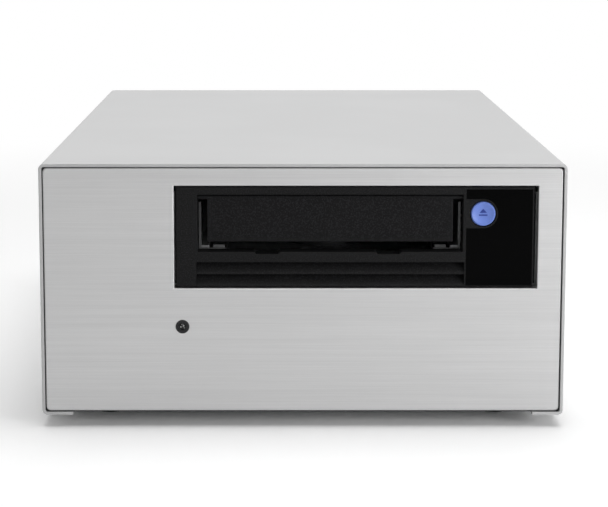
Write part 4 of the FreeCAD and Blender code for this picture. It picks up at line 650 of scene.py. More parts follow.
class FinishBook:
    """Every finish of the part, each made once."""

    FINISHES: tuple[Finish, ...] = (
        PowderCoat("sleeve_paint", (0.515, 0.516, 0.518), 0.42),
        BrushedMetal("brushed_aluminium", (0.655, 0.655, 0.657), 0.30, Grain.ALONG_X, 0.8, 0.05),
        PlatedSteel("zinc_steel", (0.60, 0.61, 0.61), 0.34),
        # The tray's steel is much darker than plated steel, to paint the shade inside the cartridge
        # slot.
        PlatedSteel("tray_steel", (0.19, 0.192, 0.195), 0.40, 2.5 * MM),
        BrushedMetal("lid_steel", (0.62, 0.625, 0.63), 0.30, Grain.ALONG_Y, 1.0, 0.05),
        BrushedMetal("heatsink_aluminium", (0.66, 0.665, 0.67), 0.32, Grain.ALONG_Y, 1.0, 0.08),
        CastMetal("cast_aluminium", (0.50, 0.51, 0.52), 0.42),
        TurnedMetal("steel_screw", (0.56, 0.565, 0.57), 0.24),
        TurnedMetal("motor_steel", (0.10, 0.102, 0.105), 0.42),
        TurnedMetal("guard_wire", (0.72, 0.725, 0.73), 0.14),
        TurnedMetal("brass_pin", (0.66, 0.50, 0.24), 0.22),
        TurnedMetal("port_shell", (0.60, 0.605, 0.61), 0.25),
        MouldedPlastic("bezel_plastic", (0.0050, 0.0050, 0.0053), 0.55, grain=0.5 * MM,
                       specular=0.13, speckle=0.8),
        MouldedPlastic("door_plastic", (0.0048, 0.0048, 0.0052), 0.58, grain=0.5 * MM,
                       specular=0.11, speckle=0.7),
        MouldedPlastic("window_plastic", (0.0012, 0.0012, 0.0013), 0.10, grain=3.0 * MM,
                       depth=0.01 * MM, specular=0.03, coat=0.015, dust=0.0),
        MouldedPlastic("button_plastic", (0.150, 0.235, 0.640), 0.34, grain=0.6 * MM,
                       depth=0.008 * MM, specular=0.35, lift=1.25, dust=0.05),
        MouldedPlastic("black_plastic", (0.010, 0.010, 0.011), 0.36, specular=0.35),
        MouldedPlastic("fan_plastic", (0.012, 0.012, 0.013), 0.42, grain=0.5 * MM, specular=0.4),
        MouldedPlastic("white_nylon", (0.72, 0.71, 0.67), 0.38, grain=0.7 * MM, lift=1.1,
                       dust=0.05),
        MouldedPlastic("reel_plastic", (0.30, 0.305, 0.31), 0.34, grain=0.5 * MM, lift=1.3),
        SoftRubber("black_rubber", (0.014, 0.014, 0.015), 0.62),
        SoftRubber("cable_jacket", (0.018, 0.018, 0.020), 0.48, 0.9 * MM),
        ClearPlastic("lamp_plastic", (0.94, 0.95, 0.96), 0.04),
        GlazedCeramic("ceramic", (0.26, 0.25, 0.24), 0.22),
        GlazedCeramic("ferrite", (0.045, 0.043, 0.042), 0.40),
        SolderMask("circuit_board", (0.012, 0.085, 0.035), 0.34),
        PrintedSleeve("capacitor_sleeve", (0.02, 0.03, 0.09), 0.36),
    )

    def __init__(self) -> None:
        """Makes every material."""
        self.made = {finish.slot: finish.material() for finish in self.FINISHES}

    def dress_cad(self, record: Mapping[str, object]) -> None:
        """Gives every CAD node the material of its slot.

        Args:
            record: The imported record, which names each sub-part's slot.
        """
        for part in record["subparts"]:
            node = frame["nodes"][part["node"]]
            for holder in node.material_slots:
                holder.material = self.made[part["material_slot"]]
            LOG.info("node %s wears %s", part["node"], part["material_slot"])


# ------------------------------------------------------------------ mesh work

class Facing(Enum):
    """Which way a piece's own +Z points, with its own X and Y, in the row frame."""

    UP = ((1, 0, 0), (0, 1, 0), (0, 0, 1))
    DOWN = ((1, 0, 0), (0, -1, 0), (0, 0, -1))
    FRONT = ((1, 0, 0), (0, 0, 1), (0, -1, 0))
    REAR = ((-1, 0, 0), (0, 0, 1), (0, 1, 0))
    RIGHT = ((0, 1, 0), (0, 0, 1), (1, 0, 0))

    def at(self, point: Vector) -> Matrix:
        """The placement of a piece with its origin at that point."""
        turn = Matrix([Vector(axis) for axis in self.value]).transposed().to_4x4()
        return Matrix.Translation(point) @ turn


@dataclass(frozen=True)
class Box:
    """Lowest and highest corners of a node or of a loose solid in it."""

    low: Vector
    high: Vector

    @classmethod
    def of(cls, node: str) -> "Box":
        """The box of a CAD node at rest."""
        return cls(*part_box(node))

    @property
    def centre(self) -> Vector:
        """The middle of the box."""
        return (self.low + self.high) / 2

    @property
    def size(self) -> Vector:
        """Its three lengths."""
        return self.high - self.low


def loose_boxes(node: str) -> list[Box]:
    """The box of each separate solid in a CAD node.

    Args:
        node: The node's name.

    Returns:
        One box for each solid, in the order of their first corner.
    """
    shape = bmesh.new()
    shape.from_mesh(frame["nodes"][node].data)
    bmesh.ops.remove_doubles(shape, verts=shape.verts, dist=0.002 * MM)
    left = set(shape.verts)
    boxes = []
    while left:
        heap = [left.pop()]
        corners = []
        while heap:
            vertex = heap.pop()
            corners.append(vertex.co.copy())
            for edge in vertex.link_edges:
                other = edge.other_vert(vertex)
                if other in left:
                    left.discard(other)
                    heap.append(other)
        low = Vector(min(c[i] for c in corners) for i in range(3))
        high = Vector(max(c[i] for c in corners) for i in range(3))
        boxes.append(Box(low, high))
    shape.free()
    return sorted(boxes, key=lambda box: tuple(round(v, 6) for v in box.low))


class Draft:
    """A mesh in the making, out of turned, cut and swept shapes."""

    def __init__(self) -> None:
        """Starts an empty mesh."""
        self.shape = bmesh.new()

    def _band(self, first: Sequence[bmesh.types.BMVert], second: Sequence[bmesh.types.BMVert],
              closed: bool = True) -> None:
        """Joins two rows of corners with faces; a row of one corner makes a fan."""
        count = max(len(first), len(second))
        for i in range(count if closed else count - 1):
            k = (i + 1) % count
            ring = [first[i % len(first)], first[k % len(first)],
                    second[k % len(second)], second[i % len(second)]]
            corners = list(dict.fromkeys(ring))
            if len(corners) > 2:
                self.shape.faces.new(corners)

    def lathe(self, profile: Outline, place: Matrix, steps: int = 40) -> None:
        """Turns a profile round the placement's Z axis.

        Args:
            profile: Radius and height of each point, from one end to the other.
            place: Where the shape goes.
            steps: How many corners a ring has.
        """
        rows = []
        for radius, height in profile:
            count = 1 if radius < 1e-9 else steps
            rows.append([self.shape.verts.new(place @ Vector((
                radius * math.cos(2 * math.pi * i / steps),
                radius * math.sin(2 * math.pi * i / steps), height))) for i in range(count)])
        for first, second in zip(rows, rows[1:]):
            self._band(first, second)

    def loop(self, profile: Outline, place: Matrix, steps: int = 48) -> None:
        """Turns a closed profile, such as a wire's round, into a ring."""
        self.lathe([*profile, profile[0]], place, steps)
        bmesh.ops.remove_doubles(self.shape, verts=self.shape.verts, dist=1e-7)

    def skin(self, rows: Sequence[Sequence[Vector]]) -> None:
        """Joins rows of points over one another into a closed form.

        Args:
            rows: The points of each row, as many in each, from the foot to the top.
        """
        made = [[self.shape.verts.new(point) for point in row] for row in rows]
        self.shape.faces.new(made[0][::-1])
        self.shape.faces.new(made[-1])
        for first, second in zip(made, made[1:]):
            self._band(first, second)

    def prism(self, outline: Outline, low: float, high: float, place: Matrix,
              draft: float = 1.0) -> None:
        """Raises an outline along the placement's Z axis.

        Args:
            outline: Its corners, in order.
            low: Height of its foot.
            high: Height of its top.
            place: Where the shape goes.
            draft: Size of the top next to the foot.
        """
        self.skin([[place @ Vector((u, v, low)) for u, v in outline],
                   [place @ Vector((u * draft, v * draft, high)) for u, v in outline]])

    def ring(self, outer: Outline, inner: Outline, low: float, high: float,
             place: Matrix) -> None:
        """Raises the band between two outlines with as many corners each.

        Args:
            outer: The outer outline.
            inner: The inner outline.
            low: Height of its foot.
            high: Height of its top.
            place: Where the shape goes.
        """
        rows = [[self.shape.verts.new(place @ Vector((u, v, height))) for u, v in outline]
                for outline, height in ((outer, low), (outer, high), (inner, high), (inner, low))]
        for number, row in enumerate(rows):
            self._band(row, rows[(number + 1) % 4])

    def stack(self, layers: Sequence[tuple[Outline, float]], place: Matrix) -> None:
        """Skins outlines of as many corners each over one another into a closed form.

        Args:
            layers: Each outline with its height, from the foot to the top.
            place: Where the shape goes.
        """
        self.skin([[place @ Vector((u, v, height)) for u, v in outline]
                   for outline, height in layers])

    def brick(self, centre: Vector, size: Vector) -> None:
        """Adds a block by its middle and its three lengths."""
        outline = rectangle(size.x, size.y)
        self.prism(outline, -size.z / 2, size.z / 2, Matrix.Translation(centre))

    def sweep(self, path: Sequence[Vector], radius: float, sides: int = 10,
              closed: bool = False) -> None:
        """Draws a round wire along a path.

        Args:
            path: The wire's middle line.
            radius: The wire's radius.
            sides: How many corners its round has.
            closed: Whether the last point joins the first.
        """
        rows = []
        side = None
        count = len(path)
        for i, point in enumerate(path):
            before = path[i - 1] if i or closed else point
            after = path[(i + 1) % count] if i < count - 1 or closed else point
            ahead = (after - before).normalized()
            if side is None:
                side = ahead.orthogonal().normalized()
            side = (side - ahead * side.dot(ahead)).normalized()
            third = ahead.cross(side)
            rows.append([self.shape.verts.new(
                point + radius * (side * math.cos(2 * math.pi * k / sides)
                                  + third * math.sin(2 * math.pi * k / sides)))
                for k in range(sides)])
        for first, second in zip(rows, rows[1:]):
            self._band(first, second)
        if closed:
            self._band(rows[-1], rows[0])
        else:
            self.shape.faces.new(rows[0][::-1])
            self.shape.faces.new(rows[-1])

    def stamp(self, mesh: bpy.types.Mesh, place: Matrix) -> None:
        """Adds a copy of a finished mesh.

        Args:
            mesh: The mesh to copy.
            place: Where the copy goes.
        """
        known = set(self.shape.verts)
        self.shape.from_mesh(mesh)
        fresh = [v for v in self.shape.verts if v not in known]
        bmesh.ops.transform(self.shape, matrix=place, verts=fresh)

    def mesh(self, name: str) -> bpy.types.Mesh:
        """Ends the draft and gives its mesh.

        Args:
            name: The mesh's name.

        Returns:
            The mesh, smooth with sharp edges kept.
        """
        bmesh.ops.recalc_face_normals(self.shape, faces=self.shape.faces)
        made = bpy.data.meshes.new(name)
        self.shape.to_mesh(made)
        self.shape.free()
        made.shade_smooth()
        made.set_sharp_from_angle(angle=math.radians(32))
        return made


def rectangle(width: float, height: float) -> list[tuple[float, float]]:
    """Corners of a rectangle about the origin."""
    return [(-width / 2, -height / 2), (width / 2, -height / 2),
            (width / 2, height / 2), (-width / 2, height / 2)]


def circle(radius: float, steps: int) -> list[tuple[float, float]]:
    """Corners of a circle about the origin.

    Args:
        radius: Its radius.
        steps: How many corners it has.

    Returns:
        The outline, in order.
    """
    angles = [2 * math.pi * i / steps for i in range(steps)]
    return [(radius * math.cos(angle), radius * math.sin(angle)) for angle in angles]


def rounded(width: float, height: float, radius: float,
            steps: int = 6) -> list[tuple[float, float]]:
    """Corners of a rectangle about the origin with rounded corners.

    Args:
        width: Its length along u.
        height: Its length along v.
        radius: Radius of each corner.
        steps: How many flats each corner has.

    Returns:
        The outline, in order.
    """
    points = []
    for turn, (su, sv) in enumerate(((1, 1), (-1, 1), (-1, -1), (1, -1))):
        cu, cv = su * (width / 2 - radius), sv * (height / 2 - radius)
        for i in range(steps + 1):
            angle = math.pi / 2 * (turn + i / steps)
            points.append((cu + radius * math.cos(angle), cv + radius * math.sin(angle)))
    return points


class Workshop:
    """Turns drafts into pieces that ride on the CAD bodies."""

    def __init__(self, finishes: FinishBook) -> None:
        """Keeps the finishes that pieces are dressed in."""
        self.finishes = finishes

    def piece(self, name: str, draft: Draft, body: str, slot: str,
              replaced: Iterable[str] = (), edge: float = 0.0,
              finish: Finish | None = None) -> bpy.types.Object:
        """Makes one piece.

        Args:
            name: The piece's name.
            draft: Its mesh.
            body: The CAD body that it rides on.
            slot: The record's material slot.
            replaced: The CAD nodes that it stands for.
            edge: Width of the bevel on its edges, in metres.
            finish: A finish of its own, where the slot's isn't right.

        Returns:
            The piece.
        """
        made = bpy.data.objects.new(name, draft.mesh(name))
        bpy.context.scene.collection.objects.link(made)
        made.data.materials.append(finish.material() if finish else self.finishes.made[slot])
        if edge:
            bevel = made.modifiers.new("edges", "BEVEL")
            bevel.width = edge
            bevel.segments = 2
            bevel.limit_method = "ANGLE"
            bevel.angle_limit = math.radians(40)
        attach(made, body)
        if replaced:
            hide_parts(*replaced)
        LOG.info("piece %s rides on %s", name, body)
        return made


# ------------------------------------------------------------------ studio

@dataclass
class Studio:
    """Camera, lamps, world and floor."""

    focal: float = 111.14
    sensor: float = 36.0
    pitch: float = math.radians(7.99)
    shift: tuple[float, float] = (0.040, -0.120)
    camera_x: float = -9.5 * MM
    camera_back: float = 758.4 * MM
    camera_rise: float = 99.7 * MM
    floor_reach: float = 6.0
    ambient: float = 0.23
    pale: float = 0.81
    pale_seen: float = 1.19
    fade: tuple[float, float] = (0.25, 0.90)

    def build(self) -> None:
        """Sets up everything that isn't part of the object."""
        self.camera()
        self.world()
        self.floor()
        self.lamp("top_light", (0.10, 0.10, 1.35), (0.0, 0.0, 0.06), 1.2, 11.6)
        self.lamp("rear_light", (0.10, 0.60, 1.30), (0.0, 0.05, 0.06), 1.2, 1.6)
        self.lamp("right_light", (0.72, -0.72, 0.18), (0.08, -0.16, 0.05), 0.4, 5.2)
        self.lamp("left_light", (-1.2, -0.3, 0.7), (0.0, 0.0, 0.05), 0.8, 1.0)

    def camera(self) -> None:
        """Places the camera in front of the panel, a little above the cover."""
        low, high = CAD_BOX
        data = bpy.data.cameras.new("camera")
        data.sensor_width = self.sensor
        data.lens = self.focal
        data.shift_x, data.shift_y = self.shift
        data.clip_start = 0.01
        data.clip_end = 50.0
        holder = bpy.data.objects.new("camera", data)
        holder.location = (self.camera_x, low.y - self.camera_back, high.z + self.camera_rise)
        holder.rotation_euler = (math.pi / 2 - self.pitch, 0.0, 0.0)
        bpy.context.scene.collection.objects.link(holder)
        bpy.context.scene.camera = holder
        bpy.context.scene.view_settings.view_transform = "Standard"

    def world(self) -> None:
        """White where it is seen or mirrored, and a softer fill elsewhere."""
        world = bpy.data.worlds.new("studio")
        bpy.context.scene.world = world
        sheet = NodeSheet(world)
        strength = self.ambient + seen_directly(sheet) * (1.0 - self.ambient)
        sky = sheet.add("ShaderNodeBackground", {}, {"Color": (1, 1, 1, 1), "Strength": strength})
        sheet.add("ShaderNodeOutputWorld", {}, {"Surface": sky.outputs[0]})

    def floor(self) -> None:
        """A pale table that fades to white and keeps the object's shadow."""
        draft = Draft()
        draft.prism(rectangle(self.floor_reach * 2, self.floor_reach * 2), -0.02, 0.0,
                    Matrix.Identity(4))
        table = bpy.data.objects.new("floor", draft.mesh("floor"))
        bpy.context.scene.collection.objects.link(table)
        paint = bpy.data.materials.new("floor_paint")
        sheet = NodeSheet(paint)
        grain = sheet.noise(0.4, 2.0)
        camera = sheet.signal(sheet.add("ShaderNodeLightPath"), "Is Camera Ray")
        pale = sheet.blend(grain, (self.pale - 0.01,) * 3, (self.pale + 0.01,) * 3)
        tone = sheet.blend(camera, pale, (self.pale_seen,) * 3)
        matt = sheet.add("ShaderNodeBsdfDiffuse", {}, {"Color": tone})
        white = sheet.add("ShaderNodeEmission", {}, {"Color": (1, 1, 1, 1), "Strength": 1.0})
        reach = sheet.add("ShaderNodeVectorMath", {"operation": "LENGTH"}, {0: sheet.place()})
        far = sheet.signal(reach, "Value").ramp(*self.fade)
        sheet.surface(sheet.add("ShaderNodeMixShader", {}, {
            0: far * camera, 1: matt.outputs[0], 2: white.outputs[0]}).outputs[0])
        table.data.materials.append(paint)

    @staticmethod
    def lamp(name: str, place: Sequence[float], target: Sequence[float], size: float,
             watts: float) -> None:
        """Adds one soft square lamp.

        Args:
            name: The lamp's name.
            place: Where it hangs.
            target: The point that it faces.
            size: Its side, in metres.
            watts: Its power.
        """
        data = bpy.data.lights.new(name, "AREA")
        data.shape = "SQUARE"
        data.size = size
        data.energy = watts
        holder = bpy.data.objects.new(name, data)
        holder.location = place
        aim = Vector(target) - Vector(place)
        holder.rotation_euler = aim.to_track_quat("-Z", "Y").to_euler()
        bpy.context.scene.collection.objects.link(holder)


def seen_directly(sheet: NodeSheet) -> Signal:
    """1 for camera, glossy and transmission rays, and 0 for the rest.

    Args:
        sheet: The node tree that takes the nodes.

    Returns:
        The mask.
    """
    path = sheet.add("ShaderNodeLightPath")
    kinds = [sheet.signal(path, name)
             for name in ("Is Camera Ray", "Is Glossy Ray", "Is Transmission Ray")]
    total = kinds[0] + kinds[1] + kinds[2]
    return total.ramp(0.0, 1.0)


# ------------------------------------------------------------------ fasteners

@dataclass
class Fasteners:
    """Cross-recess screws in the places of the CAD's plain ones."""

    recess: float = 0.62
    depth: float = 0.9 * MM
    arm: float = 0.75 * MM

    def build(self, shop: Workshop) -> None:
        """Makes one piece for each group of screws.

        Args:
            shop: The workshop that turns drafts into pieces.
        """
        groups = {"cover_screws": Facing.DOWN, "foot_screws": Facing.DOWN,
                  "rear_screws": Facing.REAR, "panel_screws": Facing.REAR}
        for node, facing in groups.items():
            draft = Draft()
            for box in loose_boxes(node):
                self.screw(draft, box, facing)
            shop.piece(f"{node}_recessed", draft, "enclosure", "steel_screw", (node,))

    def screw(self, draft: Draft, box: Box, facing: Facing) -> None:
        """Adds one screw inside the box of its CAD solid.

        Args:
            draft: The mesh that takes it.
            box: The solid's box.
            facing: The way that its head points.
        """
        turn = facing.at(Vector((0, 0, 0))).to_3x3()
        half = turn.transposed() @ (box.size / 2)
        half = Vector(abs(v) for v in half)
        head = half.x
        tip = facing.at(box.centre) @ Matrix.Translation((0, 0, half.z))
        shank = head * 0.53
        cap = 1.4 * MM
        draft.stamp(self.head_mesh(head, cap), tip)
        length = half.z * 2
        pitch = 0.5 * MM
        profile = [(shank, -cap)]
        turns = int((length - cap) / pitch)
        for i in range(turns):
            z = -cap - i * pitch
            profile += [(shank, z - 0.1 * pitch), (shank * 0.84, z - 0.5 * pitch),
                        (shank, z - 0.9 * pitch)]
        profile += [(shank * 0.8, -length), (0, -length)]
        draft.lathe(profile, tip, 20)

    def head_mesh(self, radius: float, cap: float) -> bpy.types.Mesh:
        """A domed pan head with a tapered cross cut into it.

        Args:
            radius: The head's radius.
            cap: The head's height.

        Returns:
            A mesh whose top is at height 0.
        """
        dome = Draft()
        dome.lathe([(0, 0), (radius * 0.35, -0.015 * cap), (radius * 0.7, -0.1 * cap),
                    (radius * 0.9, -0.28 * cap), (radius, -0.6 * cap), (radius, -0.96 * cap),
                    (radius * 0.97, -cap), (0, -cap)], Matrix.Identity(4), 36)
        cross = Draft()
        reach, half = radius * self.recess, self.arm / 2
        outline = [(-half, -reach), (half, -reach), (half, -half), (reach, -half), (reach, half),
                   (half, half), (half, reach), (-half, reach), (-half, half), (-reach, half),
                   (-reach, -half), (-half, -half)]
        cross.prism([(u * 0.5, v * 0.5) for u, v in outline], -self.depth, 0.2 * MM,
                    Matrix.Identity(4), 2.2)
        return carved(dome, cross)


def carved(body: Draft, tool: Draft) -> bpy.types.Mesh:
    """Cuts one closed draft out of another.

    Args:
        body: The shape that stays.
        tool: The shape that is taken away.

    Returns:
        The cut mesh.
    """
    made = [bpy.data.objects.new(name, draft.mesh(name))
            for name, draft in (("cut_body", body), ("cut_tool", tool))]
    for item in made:
        bpy.context.scene.collection.objects.link(item)
    cut = made[0].modifiers.new("cut", "BOOLEAN")
    cut.object = made[1]
    cut.operation = "DIFFERENCE"
    cut.solver = "EXACT"
    scene_now = bpy.context.evaluated_depsgraph_get()
    result = bpy.data.meshes.new_from_object(made[0].evaluated_get(scene_now))
    for item in made:
        bpy.data.objects.remove(item)
    return result


# ------------------------------------------------------------------ front

@dataclass
class DriveFace:
    """Pieces on the front of the drive: the eject button's mark and the lamp's inside."""

    rim: float = 0.5 * MM
    dish: float = 0.8 * MM
    mark_width: float = 3.1 * MM
    mark_height: float = 1.7 * MM
    bar_width: float = 3.5 * MM
    bar_height: float = 0.56 * MM
    mark_gap: float = 0.65 * MM
    mark_shift: float = 0.57 * MM
    mark_rise: float = 0.04 * MM
    # White beads inside the lamp that stand in as painted glints of light: place and size of each.
    glints: tuple[tuple[float, float, float], ...] = (
        (-0.60 * MM, -0.20 * MM, 0.24 * MM), (0.30 * MM, 0.15 * MM, 0.30 * MM),
        (0.55 * MM, -0.55 * MM, 0.20 * MM))

    def build(self, shop: Workshop) -> None:
        """Makes the front's own pieces.

        Args:
            shop: The workshop that turns drafts into pieces.
        """
        self.eject_mark(shop)
        self.lamp_inside(shop)

    def eject_mark(self, shop: Workshop) -> None:
        """The usual eject sign, a triangle over a bar, set flush in the button's dish in a darker
        blue that paints the shade of a recessed sign.

        Args:
            shop: The workshop that turns drafts into pieces.
        """
        box = Box.of("eject_button")
        radius = box.size.x / 2
        face = box.low.y

        def dish(u: float, v: float) -> float:
            """Depth of the dish below the button's rim.

            Args:
                u: Distance to the right of the button's middle.
                v: Distance above it.

            Returns:
                The depth in metres.
            """
            rim = radius - self.rim
            ball = (rim * rim + self.dish * self.dish) / (2 * self.dish)
            return self.dish - ball + math.sqrt(ball * ball - u * u - v * v)

        base = self.mark_shift - (self.mark_height + self.mark_gap + self.bar_height) / 2
        foot = base + self.bar_height + self.mark_gap
        outlines = [
            [(-self.bar_width / 2, base), (self.bar_width / 2, base),
             (self.bar_width / 2, base + self.bar_height),
             (-self.bar_width / 2, base + self.bar_height)],
            [(-self.mark_width / 2, foot), (self.mark_width / 2, foot),
             (0.0, foot + self.mark_height)]]
        draft = Draft()
        place = Facing.FRONT.at(Vector((box.centre.x, face, box.centre.z)))
        for outline in outlines:
            draft.skin([[place @ Vector((u, v, rise - dish(u, v))) for u, v in outline]
                        for rise in (-self.mark_rise, self.mark_rise)])
        # A darker blue that paints the shade of a recessed sign.
        mark_colour = MouldedPlastic("button_plastic", (0.030, 0.055, 0.27), 0.4, specular=0.3, dust=0.0)
        shop.piece("eject_mark", draft, "button", "button_plastic", finish=mark_colour)

    def lamp_inside(self, shop: Workshop) -> None:
        """A black cup inside the clear lamp, which paints the shade inside it, and small white
        beads and an arc that are painted glints.

        Args:
            shop: The workshop that turns drafts into pieces.
        """
        box = Box.of("led_lamp")
        place = Facing.FRONT.at(Vector((box.centre.x, box.low.y, box.centre.z)))
        # The cup is black to paint the shade inside the lamp.
        cup = Draft()
        cup.lathe([(1.2 * MM, -1.6 * MM), (1.2 * MM, -2.6 * MM), (0.0, -2.6 * MM),
                   (0.0, -2.4 * MM), (1.05 * MM, -2.4 * MM), (1.05 * MM, -1.6 * MM),
                   (1.2 * MM, -1.6 * MM)], place, 32)
        shop.piece("lamp_cup", cup, "enclosure", "black_plastic")
        # White beads and an arc that paint the lamp's glints.
        glint_beads = Draft()
        for u, v, size in self.glints:
            glint_beads.lathe([(0.0, size), (size * 0.7, size * 0.7), (size, 0.0),
                        (size * 0.7, -size * 0.7), (0.0, -size)],
                       place @ Matrix.Translation((u, v, -1.1 * MM)), 14)
        arc = [place @ Vector((0.68 * MM * math.cos(a), 0.68 * MM * math.sin(a), -1.1 * MM))
               for a in (math.radians(70 + 12 * i) for i in range(6))]
        glint_beads.sweep(arc, 0.10 * MM, 8)
        glint_white = MouldedPlastic("lamp_plastic", (0.86, 0.86, 0.85), 0.3, dust=0.0)
        shop.piece("lamp_painted_glints", glint_beads, "enclosure", "lamp_plastic", finish=glint_white)


@dataclass
class PanelTrim:
    """The front plate with its rounded corners, and black pieces that paint the shade in the gaps
    round it.
    """

    corner: float = 1.8 * MM
    chamfer: float = 0.35 * MM
    window_edge: float = 0.22 * MM
    left_gap: float = 0.8 * MM
    right_gap: float = 1.65 * MM
    end_gap: float = 0.55 * MM
    barrel: float = 2.5 * MM
    panel_gap: float = 0.45 * MM
    slack: float = 0.04 * MM
    # Thickness of the black strips that paint the shade in the bezel's side gaps.
    shade_strip_thick: float = 1.3 * MM

    def build(self, shop: Workshop) -> None:
        """Makes the plate and the black pieces that paint shade in its gaps.

        Args:
            shop: The workshop that turns drafts into pieces.
        """
        plate, bezel = Box.of("front_panel"), Box.of("drive_bezel")
        self.plate(shop, plate, bezel)
        self.gap_shade_ring(shop, plate)
        self.gap_shade_strips(shop, bezel)

    def plate(self, shop: Workshop, plate: Box, bezel: Box) -> None:
        """The brushed plate: rounded outline, soft rim, window and lamp hole.

        Args:
            shop: The workshop that turns drafts into pieces.
            plate: The CAD panel's box.
            bezel: The bezel's box, which stands in the window.
        """
        middle = plate.centre
        place = Facing.FRONT.at(Vector((middle.x, plate.high.y, middle.z)))
        thick = plate.size.y
        wide, tall = plate.size.x, plate.size.z
        small = rounded(wide - 2 * self.chamfer, tall - 2 * self.chamfer,
                        self.corner - self.chamfer)
        whole = rounded(wide, tall, self.corner)
        body = Draft()
        body.stack([(whole, 0.0), (whole, thick - self.chamfer), (small, thick)], place)
        left, right = bezel.low.x - self.left_gap, bezel.high.x + self.right_gap
        low, high = bezel.low.z - self.end_gap, bezel.high.z + self.end_gap
        hole = Facing.FRONT.at(Vector(((left + right) / 2, plate.high.y, (low + high) / 2)))
        window = rectangle(right - left, high - low)
        flared = rectangle(right - left + 2 * self.window_edge, high - low + 2 * self.window_edge)
        over = 0.2 * MM
        tool = Draft()
        tool.stack([(window, -over), (window, thick - self.window_edge), (flared, thick),
                    (flared, thick + over)], hole)
        lamp = Box.of("led_holder").centre
        tool.lathe([(0, -over), (self.barrel, -over), (self.barrel, thick + over),
                    (0, thick + over)], Facing.FRONT.at(Vector((lamp.x, plate.high.y, lamp.z))))
        cut = Draft()
        cut.stamp(carved(body, tool), Matrix.Identity(4))
        shop.piece("front_plate", cut, "enclosure", "brushed_aluminium", ("front_panel",))

    def gap_shade_ring(self, shop: Workshop, plate: Box) -> None:
        """A black ring in the gap between the plate and the sleeve, which paints the gap's shade.

        Args:
            shop: The workshop that turns drafts into pieces.
            plate: The CAD panel's box.
        """
        wide, tall = plate.size.x, plate.size.z
        out, inn = self.panel_gap - self.slack, self.slack
        draft = Draft()
        draft.ring(rounded(wide + 2 * out, tall + 2 * out, 0.95 * MM),
                   rounded(wide + 2 * inn, tall + 2 * inn, self.corner),
                   0.2 * MM, plate.size.y - 0.5 * MM,
                   Facing.FRONT.at(Vector((plate.centre.x, plate.high.y, plate.centre.z))))
        # Black ring that paints the shade in the gap round the plate.
        shop.piece("panel_gap_shade", draft, "enclosure", "black_rubber")

    def gap_shade_strips(self, shop: Workshop, bezel: Box) -> None:
        """Black strips that close the gap on both sides of the bezel and paint its shade.

        Args:
            shop: The workshop that turns drafts into pieces.
            bezel: The bezel's box.
        """
        draft = Draft()
        spans = ((bezel.low.x - self.left_gap + 0.05 * MM, bezel.low.x - 0.1 * MM),
                 (bezel.high.x + 0.1 * MM, bezel.high.x + self.right_gap - 0.05 * MM))
        for left, right in spans:
            place = Matrix.Translation(((left + right) / 2, bezel.high.y - 0.45 * MM, 0.0))
            draft.prism(rounded(right - left, self.shade_strip_thick, 0.2 * MM, 3),
                        bezel.low.z + 0.2 * MM, bezel.high.z - 0.2 * MM, place)
        shop.piece("side_gap_shade", draft, "enclosure", "black_rubber")


